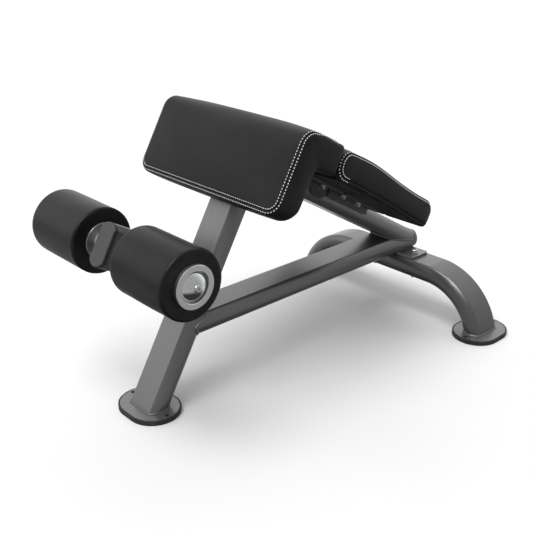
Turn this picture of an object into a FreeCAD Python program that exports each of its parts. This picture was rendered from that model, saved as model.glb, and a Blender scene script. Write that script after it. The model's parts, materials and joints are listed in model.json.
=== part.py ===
import FreeCAD, Part
import math
import os

from FreeCAD import Placement, Rotation, Vector

# Roman chair: a leaning post, a long top tube running down to a floor rail, a wide rear arch
# leg, two free-turning foam rollers on a front arm, and two upholstered pads on top.
# Millimetres. +Z is up, -X is the front (rollers), +X is the rear (arch leg), +Y is left as
# seen by someone standing in front of the rollers. The origin is at the centre of the
# footprint, on the floor.

# ---------------------------------------------------------------- driving dimensions

# flat-oval frame tube
TUBE_WIDTH = 101.6
TUBE_THICK = 50.8
TUBE_WALL = 3.0
TUBE_SIDE_RADIUS = 31.0
TUBE_EDGE_RADIUS = 5.0

# leaning frame: the post leans back by this much and the top tube is square to it
LEAN_DEGREES = 30.0
TOP_TUBE_HEIGHT = 648.0          # top face of the top tube, measured along the post

# floor rail and rear arch
RAIL_TOP = 221.0
REAR_LEG_X = 903.0               # from the middle of the front foot
RAIL_END_X = 940.0
RAIL_CAP_THICK = 4.0
FLANGE_THICK = 6.4
FLANGE_LENGTH = 190.0
FLANGE_WIDTH = 70.0
FLANGE_CORNER_RADIUS = 8.0
ARCH_STRAIGHT_HALF = 151.0
ARCH_BEND_RADIUS = 170.0         # centreline of the bend
FLANGE_BOLT_Y = 72.0

# feet
FOOT_LENGTH = 165.0
FOOT_WIDTH = 130.0
FOOT_TOP = 12.0
FOOT_PLATE_THICK = 6.0
FOOT_LIP = 4.0
FOOT_PAD_DROP = 0.5               # the rubber lip stops this far below the plate's top
ANCHOR_HOLE_RADIUS = 5.5
ANCHOR_HOLE_OFFSET = 69.0

# roller arm and axle
AXLE_ALONG_POST = 331.3
AXLE_REACH = 246.8               # from the middle of the post, forwards
ARM_REACH = 290.0
ARM_CAP_THICK = 10.0
ARM_CAP_ROUNDING = 3.0
ARM_PLUG_LENGTH = 12.0
AXLE_RADIUS = 12.7
BOSS_RADIUS = 21.0
BOSS_HALF_LENGTH = 67.0
THRUST_WASHER_THICK = 1.8

# foam rollers
ROLLER_RADIUS = 77.5
ROLLER_INNER_Y = 71.5
ROLLER_LENGTH = 180.0
ROLLER_EDGE_RADIUS = 5.5
CORE_RADIUS = 24.0
CORE_WALL = 2.5
BUSH_LENGTH = 22.0
RUNNING_GAP = 0.08
INNER_FLANGE_RADIUS = 43.5
INNER_FLANGE_THICK = 2.2
OUTER_FLANGE_RADIUS = 47.0
OUTER_FLANGE_OPENING = 34.0
OUTER_FLANGE_PROUD = 9.5
OUTER_FLANGE_WEB = 3.0
OUTER_FLANGE_BEVEL = 1.0
FLANGE_BORE_GAP = 1.0            # between a flange and the axle
DOME_RADIUS = 32.0
DOME_HEIGHT = 17.0
DOME_SKIRT = 3.0

# pads
PAD_HALF_WIDTH = 249.0
PAD_TOP = 717.0                  # measured along the post, like TOP_TUBE_HEIGHT
PAD_UNDERSIDE = 648.0           # the pads rest on the top tube
PAD_EDGE_RADIUS = 9.0
PAD_CORNER_RADIUS = 34.0
PAD_TOE_RADIUS = 28.0            # lower back corner of the front pad
PAD_HEEL_RADIUS = 26.0           # upper rear corner of the rear pad
PAD_FACE_REACH = 100.0           # front face of the front pad, forwards of the post's middle
PAD_FACE_BOTTOM = 514.0
FRONT_PAD_REAR = 40.0
REAR_PAD_FRONT = 42.0
REAR_PAD_REAR = 447.0
BOARD_THICK = 15.0
BOARD_INSET = 14.0
FACE_BOARD_RAISED = 31.0         # clear of the rounded toe of the front pad

# pad brackets: a pair of angles, one welded along each side of the top tube, with a deeper
# rounded gusset at the rear end of the front pair
BRACKET_HALF_WIDTH = 112.0
BRACKET_THICK = 6.0
BRACKET_WEB_BOTTOM = 626.0
FRONT_BRACKET = (-20.0, 252.0)
REAR_BRACKET = (262.0, 438.0)
GUSSET = (192.0, 252.0)
GUSSET_BOTTOM = 612.0
GUSSET_RADIUS = 20.0
PAD_BOLT_Y = 85.0
FRONT_PAD_BOLT_R = (5.0,)
REAR_PAD_BOLT_R = (194.0, 283.0, 352.0)
POST_BOLT_S = (566.0, 612.0)

# fasteners: shank radius, width across flats, head height, washer radius and thickness,
# nut height
M12 = dict(shank=6.0, flats=18.0, head=7.5, washer=12.0, washer_thick=2.5, nut=12.0)
M10 = dict(shank=5.0, flats=16.0, head=6.4, washer=10.5, washer_thick=2.5, nut=9.0)
FLANGE_BOLT_END = 6.0            # thread showing past the nut
TEE_NUT_FLANGE_RADIUS = 11.0
TEE_NUT_FLANGE_THICK = 1.6
TEE_NUT_BARREL_RADIUS = 6.5
TEE_NUT_BARREL_LENGTH = 11.0
BOLT_SHORT_OF_TOP = 1.0          # between a pad bolt's tip and the top of its board
BUTTON_HEAD_RADIUS = 9.0
BUTTON_HEAD_HEIGHT = 4.5
BUTTON_SOCKET_FLATS = 6.0
BUTTON_SEAT_DEPTH = 2.5
BUTTON_CROWN = 0.8               # share of the head's height that is rounded
BUTTON_SOCKET_FLOOR = 0.4        # share of the head's height left under the socket
AXLE_TAPPING_DEPTH = 22.0
HOLE_GAP = 0.5
WASHER_GAP = 0.25
HEAD_CROWN = 0.95                # a hex head's flat top, as a share of its width across flats
HEAD_FULL_HEIGHT = 0.7           # share of a hex head's height below its turned-down corners
NUT_BODY = 0.7                   # share of a locking nut's height that is hexagonal
NUT_COLLAR = 0.42                # radius of its collar, as a share of its width across flats
CAP_GAP = 0.7                    # between a roller's web and the cap that retains it

# ---------------------------------------------------------------- worked-out dimensions

HALF_THICK = TUBE_THICK / 2
HALF_WIDTH = TUBE_WIDTH / 2
LEAN = math.radians(LEAN_DEGREES)
ROLLER_OUTER_Y = ROLLER_INNER_Y + ROLLER_LENGTH
AXLE_HALF_LENGTH = ROLLER_OUTER_Y + CAP_GAP
AXLE_X = AXLE_ALONG_POST * math.sin(LEAN) - AXLE_REACH * math.cos(LEAN)
AXLE_Z = FOOT_TOP + AXLE_ALONG_POST * math.cos(LEAN) + AXLE_REACH * math.sin(LEAN)
RAIL_MIDDLE = RAIL_TOP - HALF_THICK
RAIL_BOTTOM = RAIL_TOP - TUBE_THICK
ARCH_TOP = RAIL_BOTTOM - FLANGE_THICK
ARCH_MIDDLE = ARCH_TOP - HALF_THICK
ARCH_CENTRE_Z = ARCH_MIDDLE - ARCH_BEND_RADIUS
REAR_FOOT_Y = ARCH_STRAIGHT_HALF + math.sqrt(
    ARCH_BEND_RADIUS ** 2 - (FOOT_TOP - ARCH_CENTRE_Z) ** 2
)
# the footprint runs from the front of the rollers to the rear edge of the rear feet
FRONT_X = AXLE_X - ROLLER_RADIUS
REAR_X = REAR_LEG_X + FOOT_LENGTH / 2
ORIGIN_X = (FRONT_X + REAR_X) / 2

X = Vector(1, 0, 0)
Y = Vector(0, 1, 0)
Z = Vector(0, 0, 1)
FAR = 2000.0                     # larger than the whole object, for trimming solids
NEAR = 0.001                     # rounding error when edges are compared with a plane
PAST = 1.0                       # how far a drilled hole runs past a face

# leaning coordinates (r, y, s): r runs back along the top tube, s up along the post
LEANING = Placement(Vector(0, 0, FOOT_TOP), Rotation(Y, LEAN_DEGREES))


# ---------------------------------------------------------------- helpers

def save(name, shape):
    """Write one node, moved so that the origin is at the middle of the footprint."""
    moved(shape, Vector(-ORIGIN_X, 0, 0)).exportStep("parts/" + name + ".step")


def moved(shape, by):
    """A copy of a shape, moved."""
    copy = shape.copy()
    copy.translate(by)
    return copy


def leaning(shape):
    """Place a shape that was drawn in leaning coordinates."""
    placed = shape.copy()
    placed.Placement = LEANING.multiply(placed.Placement)
    return placed


def box(low, high):
    """A box between two corners."""
    size = Vector(*high) - Vector(*low)
    return Part.makeBox(size.x, size.y, size.z, Vector(*low))


def join(shapes):
    """Fuse solids that touch into one clean solid."""
    return shapes[0].multiFuse(shapes[1:]).removeSplitter()


def half_space(point, normal):
    """A very large block on the side of a plane that the normal points to."""
    block = Part.makeBox(2 * FAR, 2 * FAR, FAR, Vector(-FAR, -FAR, 0))
    block.Placement = Placement(point, Rotation(Z, normal))
    return block


def rounded_slot(length, width, bottom, height):
    """A stadium-shaped plate, long along X, centred on the Z axis."""
    radius = width / 2
    half = length / 2 - radius
    outline = Part.Wire([
        Part.makeLine(Vector(-half, -radius, bottom), Vector(half, -radius, bottom)),
        Part.Arc(Vector(half, -radius, bottom), Vector(half + radius, 0, bottom),
                 Vector(half, radius, bottom)).toShape(),
        Part.makeLine(Vector(half, radius, bottom), Vector(-half, radius, bottom)),
        Part.Arc(Vector(-half, radius, bottom), Vector(-half - radius, 0, bottom),
                 Vector(-half, -radius, bottom)).toShape(),
    ])
    return Part.Face(outline).extrude(Vector(0, 0, height))


def hexagon(flats, height):
    """A hexagonal prism standing on the XY plane."""
    radius = flats / math.sqrt(3)
    corners = []
    for i in range(7):
        angle = math.radians(60 * i)
        corners.append(Vector(radius * math.cos(angle), radius * math.sin(angle), 0))
    return Part.Face(Part.makePolygon(corners)).extrude(Vector(0, 0, height))


def chamfered_hexagon(flats, height):
    """A hexagon whose top corners are turned down, as on a real bolt head."""
    cone = Part.makeCone(flats / 2 + height, flats / 2 * HEAD_CROWN, height)
    turned_down = join([Part.makeCylinder(flats, height * HEAD_FULL_HEIGHT), cone])
    return hexagon(flats, height).common(turned_down)


def ring(outer, inner, height):
    """A flat ring standing on the XY plane."""
    return Part.makeCylinder(outer, height).cut(Part.makeCylinder(inner, height))


def turned(profile):
    """Turn a (radius, along) outline about the Y axis."""
    points = [Vector(radius, along, 0) for radius, along in profile]
    points.append(points[0])
    return Part.Face(Part.makePolygon(points)).revolve(Vector(0, 0, 0), Y, 360)


def at_axle(shape):
    """Move a shape drawn about the Y axis onto the roller axle."""
    return moved(shape, Vector(AXLE_X, 0, AXLE_Z))


def mirror_y(shape):
    return shape.mirror(Vector(0, 0, 0), Y)


# ---------------------------------------------------------------- frame tube

def oval_wire(shrink):
    """Outline of the flat-oval tube in the XY plane, wide along Y, made smaller by shrink.

    Two flat faces meet two bulging sides through small rounded edges.
    """
    half = HALF_THICK - shrink
    side_radius = TUBE_SIDE_RADIUS - shrink
    edge_radius = TUBE_EDGE_RADIUS - shrink
    side_centre = HALF_WIDTH - TUBE_SIDE_RADIUS
    reach = side_radius - edge_radius
    edge_centre = side_centre + math.sqrt(reach ** 2 - (half - edge_radius) ** 2)
    ratio = side_radius / reach
    side_y = side_centre + (edge_centre - side_centre) * ratio
    side_x = (half - edge_radius) * ratio
    bisector = math.atan2(edge_centre - side_centre, half - edge_radius) / 2
    middle_y = edge_centre + edge_radius * math.sin(bisector)
    middle_x = half - edge_radius + edge_radius * math.cos(bisector)
    edges = []
    for sy in (1, -1):
        tip = Vector(0, sy * (HALF_WIDTH - shrink), 0)
        edges.append(Part.Arc(
            Vector(side_x, sy * side_y, 0), tip, Vector(-side_x, sy * side_y, 0)).toShape())
        for sx in (1, -1):
            edges.append(Part.Arc(
                Vector(sx * half, sy * edge_centre, 0),
                Vector(sx * middle_x, sy * middle_y, 0),
                Vector(sx * side_x, sy * side_y, 0)).toShape())
    for sx in (1, -1):
        edges.append(Part.makeLine(
            Vector(sx * half, -edge_centre, 0), Vector(sx * half, edge_centre, 0)))
    return Part.Wire(Part.__sortEdges__(edges))


def oval_faces():
    """The tube's section with its hollow, and the same section filled."""
    outer = Part.Face(oval_wire(0))
    hollow = outer.cut(Part.Face(oval_wire(TUBE_WALL)))
    return hollow.Faces[0], outer


def straight_tube(start, end, thick_axis):
    """A hollow and a filled tube between two points.

    The tube is thin along thick_axis and wide across it.
    """
    along = end - start
    turn = Rotation(thick_axis, Vector(0, 0, 0), along, "ZXY")
    solids = []
    for face in oval_faces():
        placed = face.copy()
        placed.Placement = Placement(start, turn)
        solids.append(placed.extrude(along))
    return solids


# ---------------------------------------------------------------- leaning frame

def post_and_top_tube():
    """The post and the top tube, mitred at the top corner."""
    middle = TOP_TUBE_HEIGHT - HALF_THICK
    corner = Vector(0, 0, middle)
    mitre = half_space(corner, Vector(1, 0, 1))
    post = straight_tube(Vector(0, 0, -TUBE_WIDTH), Vector(0, 0, middle + TUBE_WIDTH), X)
    tube = straight_tube(Vector(-TUBE_WIDTH, 0, middle), Vector(FAR / 2, 0, middle), Z)
    return [leaning(s.cut(mitre)) for s in post], [leaning(s.common(mitre)) for s in tube]


def frame_tubes():
    """Post, top tube and floor rail, each trimmed to the next."""
    (post, post_filled), (top_tube, _) = post_and_top_tube()
    foot_cut = half_space(Vector(0, 0, FOOT_TOP), Z)
    post = post.common(foot_cut)
    rail_start = Vector((RAIL_MIDDLE - FOOT_TOP) * math.tan(LEAN), 0, RAIL_MIDDLE)
    rail_end = Vector(RAIL_END_X - RAIL_CAP_THICK, 0, RAIL_MIDDLE)
    rail, rail_filled = straight_tube(rail_start, rail_end, Z)
    rail = rail.cut(post_filled)
    above = half_space(Vector(0, 0, RAIL_MIDDLE), Z)
    top_tube = top_tube.common(above).cut(rail_filled)
    return biggest(post), biggest(top_tube), biggest(rail)


def biggest(shape):
    """The largest solid of a trimmed shape."""
    return max(shape.Solids, key=lambda solid: solid.Volume)


def rail_end_cap():
    start = Vector(RAIL_END_X - RAIL_CAP_THICK, 0, RAIL_MIDDLE)
    return straight_tube(start, start + Vector(RAIL_CAP_THICK, 0, 0), Z)[1]


def roller_arm(post_filled):
    """A short tube on edge, square to the post, with a sleeve hole for the axle boss."""
    arm = straight_tube(
        Vector(0, 0, AXLE_ALONG_POST), Vector(-ARM_REACH, 0, AXLE_ALONG_POST), Y)[0]
    boss_hole = Part.makeCylinder(
        BOSS_RADIUS, 2 * FAR, Vector(-AXLE_REACH, -FAR, AXLE_ALONG_POST), Y)
    return biggest(leaning(arm.cut(boss_hole)).cut(post_filled))


def arm_end_cap():
    """A black plastic cap with a plug that fills the end of the arm."""
    start = Vector(-ARM_REACH, 0, AXLE_ALONG_POST)
    cap = straight_tube(start, start - Vector(ARM_CAP_THICK, 0, 0), Y)[1]
    cap_rim = [e for e in cap.Edges
               if all(abs(v.Point.x + ARM_REACH + ARM_CAP_THICK) < NEAR for v in e.Vertexes)]
    cap = cap.makeFillet(ARM_CAP_ROUNDING, cap_rim)
    plug_face = Part.Face(oval_wire(TUBE_WALL))
    turn = Rotation(Y, Vector(0, 0, 0), X, "ZXY")
    plug_face.Placement = Placement(start, turn)
    plug = plug_face.extrude(X * ARM_PLUG_LENGTH)
    return leaning(join([cap, plug]))


# ---------------------------------------------------------------- rear arch

def arch_leg():
    """The rear leg: straight across, bent down to a foot at each end."""
    section = oval_faces()[0]
    flat = Rotation(Z, Vector(0, 0, 0), Y, "ZXY")
    middle = section.copy()
    middle.Placement = Placement(Vector(0, -ARCH_STRAIGHT_HALF, ARCH_MIDDLE), flat)
    pieces = [middle.extrude(Vector(0, 2 * ARCH_STRAIGHT_HALF, 0))]
    for side in (1, -1):
        start = section.copy()
        start.Placement = Placement(Vector(0, side * ARCH_STRAIGHT_HALF, ARCH_MIDDLE), flat)
        centre = Vector(0, side * ARCH_STRAIGHT_HALF, ARCH_CENTRE_Z)
        pieces.append(start.revolve(centre, X * -side, 90))
    arch = join(pieces).common(half_space(Vector(0, 0, FOOT_TOP), Z))
    arch.translate(Vector(REAR_LEG_X, 0, 0))
    for hole in flange_bolt_places():
        arch = arch.cut(Part.makeCylinder(
            M12["shank"] + HOLE_GAP, 2 * TUBE_WIDTH, hole - Z * TUBE_WIDTH))
    return arch


def flange_bolt_places():
    """Points on top of the mounting flange."""
    return [Vector(REAR_LEG_X, side * FLANGE_BOLT_Y, RAIL_BOTTOM) for side in (1, -1)]


def mount_flange():
    """A flat plate welded under the rail's end and bolted down on the arch."""
    low = (REAR_LEG_X - FLANGE_WIDTH / 2, -FLANGE_LENGTH / 2, ARCH_TOP)
    high = (REAR_LEG_X + FLANGE_WIDTH / 2, FLANGE_LENGTH / 2, RAIL_BOTTOM)
    plate = box(low, high)
    corners = [e for e in plate.Edges if abs(e.tangentAt(e.FirstParameter).z) > 0.99]
    plate = plate.makeFillet(FLANGE_CORNER_RADIUS, corners)
    for place in flange_bolt_places():
        plate = plate.cut(Part.makeCylinder(
            M12["shank"] + HOLE_GAP, TUBE_WIDTH, place - Z * HALF_WIDTH))
    return plate


def bolt(size, length):
    """A hex bolt: the head stands on the XY plane and the shank hangs below it."""
    head = chamfered_hexagon(size["flats"], size["head"])
    shank = Part.makeCylinder(size["shank"], length, Vector(0, 0, -length))
    return join([head, shank])


def nut(size):
    """A locking nut hanging below the XY plane, with its round collar lowest."""
    body = size["nut"] * NUT_BODY
    hexagon_part = moved(hexagon(size["flats"], body), Vector(0, 0, -body))
    collar_height = size["nut"] - body
    collar = Part.makeCylinder(
        size["flats"] * NUT_COLLAR, collar_height, Vector(0, 0, -size["nut"]))
    bore = Part.makeCylinder(size["shank"], size["nut"], Vector(0, 0, -size["nut"]))
    return join([hexagon_part, collar]).cut(bore)


def washer(size):
    return ring(size["washer"], size["shank"] + WASHER_GAP, size["washer_thick"])


def flange_fasteners():
    """Two bolts down through flange and arch, with a washer above and below and a nut."""
    thick = M12["washer_thick"]
    under = Vector(0, 0, -(RAIL_BOTTOM - ARCH_TOP) - TUBE_THICK)
    length = thick + FLANGE_THICK + TUBE_THICK + thick + M12["nut"] + FLANGE_BOLT_END
    bolts = []
    washers = []
    nuts = []
    for place in flange_bolt_places():
        bolts.append(moved(bolt(M12, length), place + Vector(0, 0, thick)))
        washers.append(moved(washer(M12), place))
        washers.append(moved(washer(M12), place + under - Vector(0, 0, thick)))
        nuts.append(moved(nut(M12), place + under - Vector(0, 0, thick)))
    return Part.Compound(bolts), Part.Compound(washers), Part.Compound(nuts)


# ---------------------------------------------------------------- feet

def foot_plate():
    """A steel foot plate with two anchor holes, long along X."""
    length = FOOT_LENGTH - 2 * FOOT_LIP
    width = FOOT_WIDTH - 2 * FOOT_LIP
    plate = rounded_slot(length, width, FOOT_TOP - FOOT_PLATE_THICK, FOOT_PLATE_THICK)
    return drill_anchor_holes(plate)


def foot_pad():
    """A rubber pad with a raised lip that the foot plate sits in."""
    pad = rounded_slot(FOOT_LENGTH, FOOT_WIDTH, 0, FOOT_TOP - FOOT_PAD_DROP)
    pocket = rounded_slot(FOOT_LENGTH - 2 * FOOT_LIP, FOOT_WIDTH - 2 * FOOT_LIP,
                          FOOT_TOP - FOOT_PLATE_THICK, FOOT_PLATE_THICK)
    return drill_anchor_holes(pad.cut(pocket))


def drill_anchor_holes(shape):
    for side in (1, -1):
        place = Vector(side * ANCHOR_HOLE_OFFSET, 0, 0)
        shape = shape.cut(Part.makeCylinder(ANCHOR_HOLE_RADIUS, FOOT_TOP, place))
    return shape


def put_foot(shape, place, turn_degrees):
    placed = shape.copy()
    placed.Placement = Placement(place, Rotation(Z, turn_degrees))
    return placed


# ---------------------------------------------------------------- rollers

def axle_boss():
    """A thick sleeve welded through the arm, carrying the axle."""
    end = Vector(0, -BOSS_HALF_LENGTH, 0)
    sleeve = Part.makeCylinder(BOSS_RADIUS, 2 * BOSS_HALF_LENGTH, end, Y)
    bore = Part.makeCylinder(AXLE_RADIUS, 2 * BOSS_HALF_LENGTH, end, Y)
    return at_axle(sleeve.cut(bore))


def roller_axle():
    rod = Part.makeCylinder(
        AXLE_RADIUS, 2 * AXLE_HALF_LENGTH, Vector(0, -AXLE_HALF_LENGTH, 0), Y)
    for side in (1, -1):
        end = Vector(0, side * AXLE_HALF_LENGTH, 0)
        tapping = Part.makeCylinder(M12["shank"], AXLE_TAPPING_DEPTH, end, Y * -side)
        rod = rod.cut(tapping)
    return at_axle(rod)


def thrust_washers():
    """A washer on each end of the boss, which the roller's inner flange runs beside."""
    start = BOSS_HALF_LENGTH
    one = turned([
        (AXLE_RADIUS, start), (BOSS_RADIUS, start),
        (BOSS_RADIUS, start + THRUST_WASHER_THICK), (AXLE_RADIUS, start + THRUST_WASHER_THICK)])
    return at_axle(Part.Compound([one, mirror_y(one)]))


def foam():
    """The foam sleeve, rounded at both ends, with a seat for the outer flange."""
    sleeve = Part.makeCylinder(ROLLER_RADIUS, ROLLER_LENGTH, Vector(0, ROLLER_INNER_Y, 0), Y)
    rims = [e for e in sleeve.Edges if e.Curve.TypeId == "Part::GeomCircle"]
    sleeve = sleeve.makeFillet(ROLLER_EDGE_RADIUS, rims)
    bore = Part.makeCylinder(CORE_RADIUS, ROLLER_LENGTH, Vector(0, ROLLER_INNER_Y, 0), Y)
    seat = Part.makeCylinder(OUTER_FLANGE_OPENING + OUTER_FLANGE_WEB, OUTER_FLANGE_WEB,
                             Vector(0, ROLLER_OUTER_Y - OUTER_FLANGE_WEB, 0), Y)
    return sleeve.cut(bore).cut(seat)


def roller_core():
    """The metal tube inside the foam."""
    length = ROLLER_LENGTH - OUTER_FLANGE_WEB
    end = Vector(0, ROLLER_INNER_Y, 0)
    outer = Part.makeCylinder(CORE_RADIUS, length, end, Y)
    inner = Part.makeCylinder(CORE_RADIUS - CORE_WALL, length, end, Y)
    return outer.cut(inner)


def roller_bushes():
    """A plain bearing bush pressed into each end of the core, running on the axle."""
    outer = CORE_RADIUS - CORE_WALL
    inner = AXLE_RADIUS + RUNNING_GAP
    bushes = []
    for start in (ROLLER_INNER_Y, ROLLER_OUTER_Y - OUTER_FLANGE_WEB - BUSH_LENGTH):
        bushes.append(turned([
            (inner, start), (outer, start), (outer, start + BUSH_LENGTH),
            (inner, start + BUSH_LENGTH)]))
    return Part.Compound(bushes)


def inner_flange():
    """A thin disc that closes the foam's inner end."""
    end = ROLLER_INNER_Y
    start = end - INNER_FLANGE_THICK
    bore = AXLE_RADIUS + FLANGE_BORE_GAP
    return turned([
        (bore, start), (INNER_FLANGE_RADIUS, start), (INNER_FLANGE_RADIUS, end), (bore, end)])


def outer_flange():
    """A dished aluminium ring: a flat rim standing proud and a web sunk in the foam."""
    face = ROLLER_OUTER_Y + OUTER_FLANGE_PROUD
    back = ROLLER_OUTER_Y - OUTER_FLANGE_WEB
    bore = AXLE_RADIUS + FLANGE_BORE_GAP
    wall = OUTER_FLANGE_OPENING + OUTER_FLANGE_WEB
    bevel = OUTER_FLANGE_BEVEL
    return turned([
        (bore, back), (wall, back), (wall, ROLLER_OUTER_Y),
        (OUTER_FLANGE_RADIUS, ROLLER_OUTER_Y),
        (OUTER_FLANGE_RADIUS, face - bevel), (OUTER_FLANGE_RADIUS - bevel, face),
        (OUTER_FLANGE_OPENING + bevel, face), (OUTER_FLANGE_OPENING, face - bevel),
        (OUTER_FLANGE_OPENING, ROLLER_OUTER_Y), (bore, ROLLER_OUTER_Y)])


def axle_cap():
    """A polished domed cap clamped on the axle's end; it keeps the roller on."""
    start = ROLLER_OUTER_Y + CAP_GAP
    top = start + DOME_HEIGHT
    drop = DOME_HEIGHT - DOME_SKIRT
    sphere_radius = (DOME_RADIUS ** 2 + drop ** 2) / (2 * drop)
    centre = top - sphere_radius
    half_angle = math.asin(DOME_RADIUS / sphere_radius) / 2
    shoulder = Vector(DOME_RADIUS, start + DOME_SKIRT, 0)
    middle = Vector(sphere_radius * math.sin(half_angle),
                    centre + sphere_radius * math.cos(half_angle), 0)
    outline = Part.Wire([
        Part.makeLine(Vector(0, start, 0), Vector(DOME_RADIUS, start, 0)),
        Part.makeLine(Vector(DOME_RADIUS, start, 0), shoulder),
        Part.Arc(shoulder, middle, Vector(0, top, 0)).toShape(),
        Part.makeLine(Vector(0, top, 0), Vector(0, start, 0)),
    ])
    body = Part.Face(outline).revolve(Vector(0, 0, 0), Y, 360)
    seat_start = Vector(0, top - BUTTON_SEAT_DEPTH, 0)
    seat = Part.makeCylinder(BUTTON_HEAD_RADIUS + HOLE_GAP, DOME_HEIGHT, seat_start, Y)
    hole = Part.makeCylinder(
        M12["shank"] + HOLE_GAP, 2 * DOME_HEIGHT, Vector(0, start - PAST, 0), Y)
    return body.cut(seat).cut(hole)


def axle_bolt():
    """A button-head screw through the cap into the end of the axle."""
    start = ROLLER_OUTER_Y + CAP_GAP + DOME_HEIGHT - BUTTON_SEAT_DEPTH
    tip = AXLE_HALF_LENGTH - AXLE_TAPPING_DEPTH
    head = Part.makeCylinder(BUTTON_HEAD_RADIUS, BUTTON_HEAD_HEIGHT, Vector(0, start, 0), Y)
    crown = [e for e in head.Edges
             if e.Curve.TypeId == "Part::GeomCircle" and e.Curve.Center.y > start + NEAR]
    head = head.makeFillet(BUTTON_HEAD_HEIGHT * BUTTON_CROWN, crown)
    shank = Part.makeCylinder(M12["shank"], start - tip, Vector(0, tip, 0), Y)
    socket = hexagon(BUTTON_SOCKET_FLATS, BUTTON_HEAD_HEIGHT)
    socket_floor = start + BUTTON_HEAD_HEIGHT * BUTTON_SOCKET_FLOOR
    socket.Placement = Placement(Vector(0, socket_floor, 0), Rotation(Z, Y))
    return join([head, shank]).cut(socket)


# ---------------------------------------------------------------- pads

def corner_arc(corner, radius, before, after):
    """A tangent arc that rounds a square corner; before and after point away from it."""
    start = corner + before * radius
    end = corner + after * radius
    middle = corner + (before + after) * (radius * (1 - math.sqrt(0.5)))
    return start, Part.Arc(start, middle, end).toShape(), end


def outline_face(corners):
    """A closed outline in the XZ plane from (x, z, rounding radius) corners."""
    points = [Vector(x, 0, z) for x, z, _ in corners]
    count = len(corners)
    edges = []
    starts = []
    ends = []
    for i in range(count):
        radius = corners[i][2]
        if radius:
            before = (points[i - 1] - points[i]).normalize()
            after = (points[(i + 1) % count] - points[i]).normalize()
            start, arc, end = corner_arc(points[i], radius, before, after)
            edges.append(arc)
        else:
            start = end = points[i]
        starts.append(start)
        ends.append(end)
    for i in range(count):
        edges.append(Part.makeLine(ends[i], starts[(i + 1) % count]))
    return Part.Face(Part.Wire(Part.__sortEdges__(edges)))


def front_pad_outline():
    """The L-shaped side outline of the front pad."""
    return outline_face([
        (-PAD_FACE_REACH, PAD_TOP, PAD_CORNER_RADIUS),
        (FRONT_PAD_REAR, PAD_TOP, 0),
        (FRONT_PAD_REAR, PAD_UNDERSIDE, 0),
        (-HALF_THICK, PAD_UNDERSIDE, 0),
        (-HALF_THICK, PAD_FACE_BOTTOM, PAD_TOE_RADIUS),
        (-PAD_FACE_REACH, PAD_FACE_BOTTOM, 0),
    ])


def rear_pad_outline():
    return outline_face([
        (REAR_PAD_FRONT, PAD_TOP, 0),
        (REAR_PAD_REAR, PAD_TOP, PAD_HEEL_RADIUS),
        (REAR_PAD_REAR, PAD_UNDERSIDE, 0),
        (REAR_PAD_FRONT, PAD_UNDERSIDE, 0),
    ])


def cushion(outline, is_back):
    """A cushion as wide as the pads, rounded on every edge that is not on its back."""
    solid = outline.extrude(Vector(0, 2 * PAD_HALF_WIDTH, 0))
    solid.translate(Vector(0, -PAD_HALF_WIDTH, 0))
    soft_edges = [e for e in solid.Edges if not is_back(e.BoundBox)]
    return solid.makeFillet(PAD_EDGE_RADIUS, soft_edges)


def front_pad_boards():
    """Two plywood boards, one along the top and one down the front of the post."""
    half = PAD_HALF_WIDTH - BOARD_INSET
    back = -HALF_THICK
    top = box((back - BOARD_THICK, -half, PAD_UNDERSIDE),
              (FRONT_PAD_REAR - BOARD_INSET, half, PAD_UNDERSIDE + BOARD_THICK))
    face = box((back - BOARD_THICK, -half, PAD_FACE_BOTTOM + FACE_BOARD_RAISED),
               (back, half, PAD_UNDERSIDE))
    return top, face


def rear_pad_board():
    half = PAD_HALF_WIDTH - BOARD_INSET
    return box((REAR_PAD_FRONT + BOARD_INSET, -half, PAD_UNDERSIDE),
               (REAR_PAD_REAR - BOARD_INSET, half, PAD_UNDERSIDE + BOARD_THICK))


def front_cushion():
    """The front cushion, with a seat for each of its boards."""
    back_x = -HALF_THICK - PAD_TOE_RADIUS - NEAR

    def is_back(bounds):
        return bounds.ZMax < PAD_UNDERSIDE + NEAR and bounds.XMin > back_x

    solid = cushion(front_pad_outline(), is_back)
    top, face = front_pad_boards()
    return solid.cut(top).cut(face)


def rear_cushion():
    """The rear cushion, with a seat for its board."""

    def is_back(bounds):
        return bounds.ZMax < PAD_UNDERSIDE + NEAR

    return cushion(rear_pad_outline(), is_back).cut(rear_pad_board())


# ---------------------------------------------------------------- pad brackets

def mirrored_pair(solid):
    """A solid on the +Y side and its mirror image."""
    return Part.Compound([solid, mirror_y(solid)])


def angle(start, end, bolt_rows):
    """One angle: a flange under the pad and a web down the tube's side."""
    flange = box((start, HALF_WIDTH, PAD_UNDERSIDE - BRACKET_THICK),
                 (end, BRACKET_HALF_WIDTH, PAD_UNDERSIDE))
    web = box((start, HALF_WIDTH, BRACKET_WEB_BOTTOM),
              (end, HALF_WIDTH + BRACKET_THICK, PAD_UNDERSIDE))
    solid = join([flange, web])
    for row in bolt_rows:
        place = Vector(row, PAD_BOLT_Y, PAD_UNDERSIDE - BRACKET_THICK - PAST)
        solid = solid.cut(Part.makeCylinder(
            M10["shank"] + HOLE_GAP, BRACKET_THICK + 2 * PAST, place))
    return solid


def front_bracket():
    """The front pair of angles, each with a rounded gusset at its rear end."""
    start, end = GUSSET
    gusset = box((start, HALF_WIDTH, GUSSET_BOTTOM),
                 (end, HALF_WIDTH + BRACKET_THICK, PAD_UNDERSIDE))
    low_corners = [e for e in gusset.Edges if e.BoundBox.ZMax < GUSSET_BOTTOM + NEAR
                   and e.BoundBox.YLength > NEAR]
    gusset = gusset.makeFillet(GUSSET_RADIUS, low_corners)
    one = join([angle(*FRONT_BRACKET, FRONT_PAD_BOLT_R + REAR_PAD_BOLT_R[:1]), gusset])
    return mirrored_pair(one)


def rear_bracket():
    return mirrored_pair(angle(*REAR_BRACKET, REAR_PAD_BOLT_R[1:]))


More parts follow.
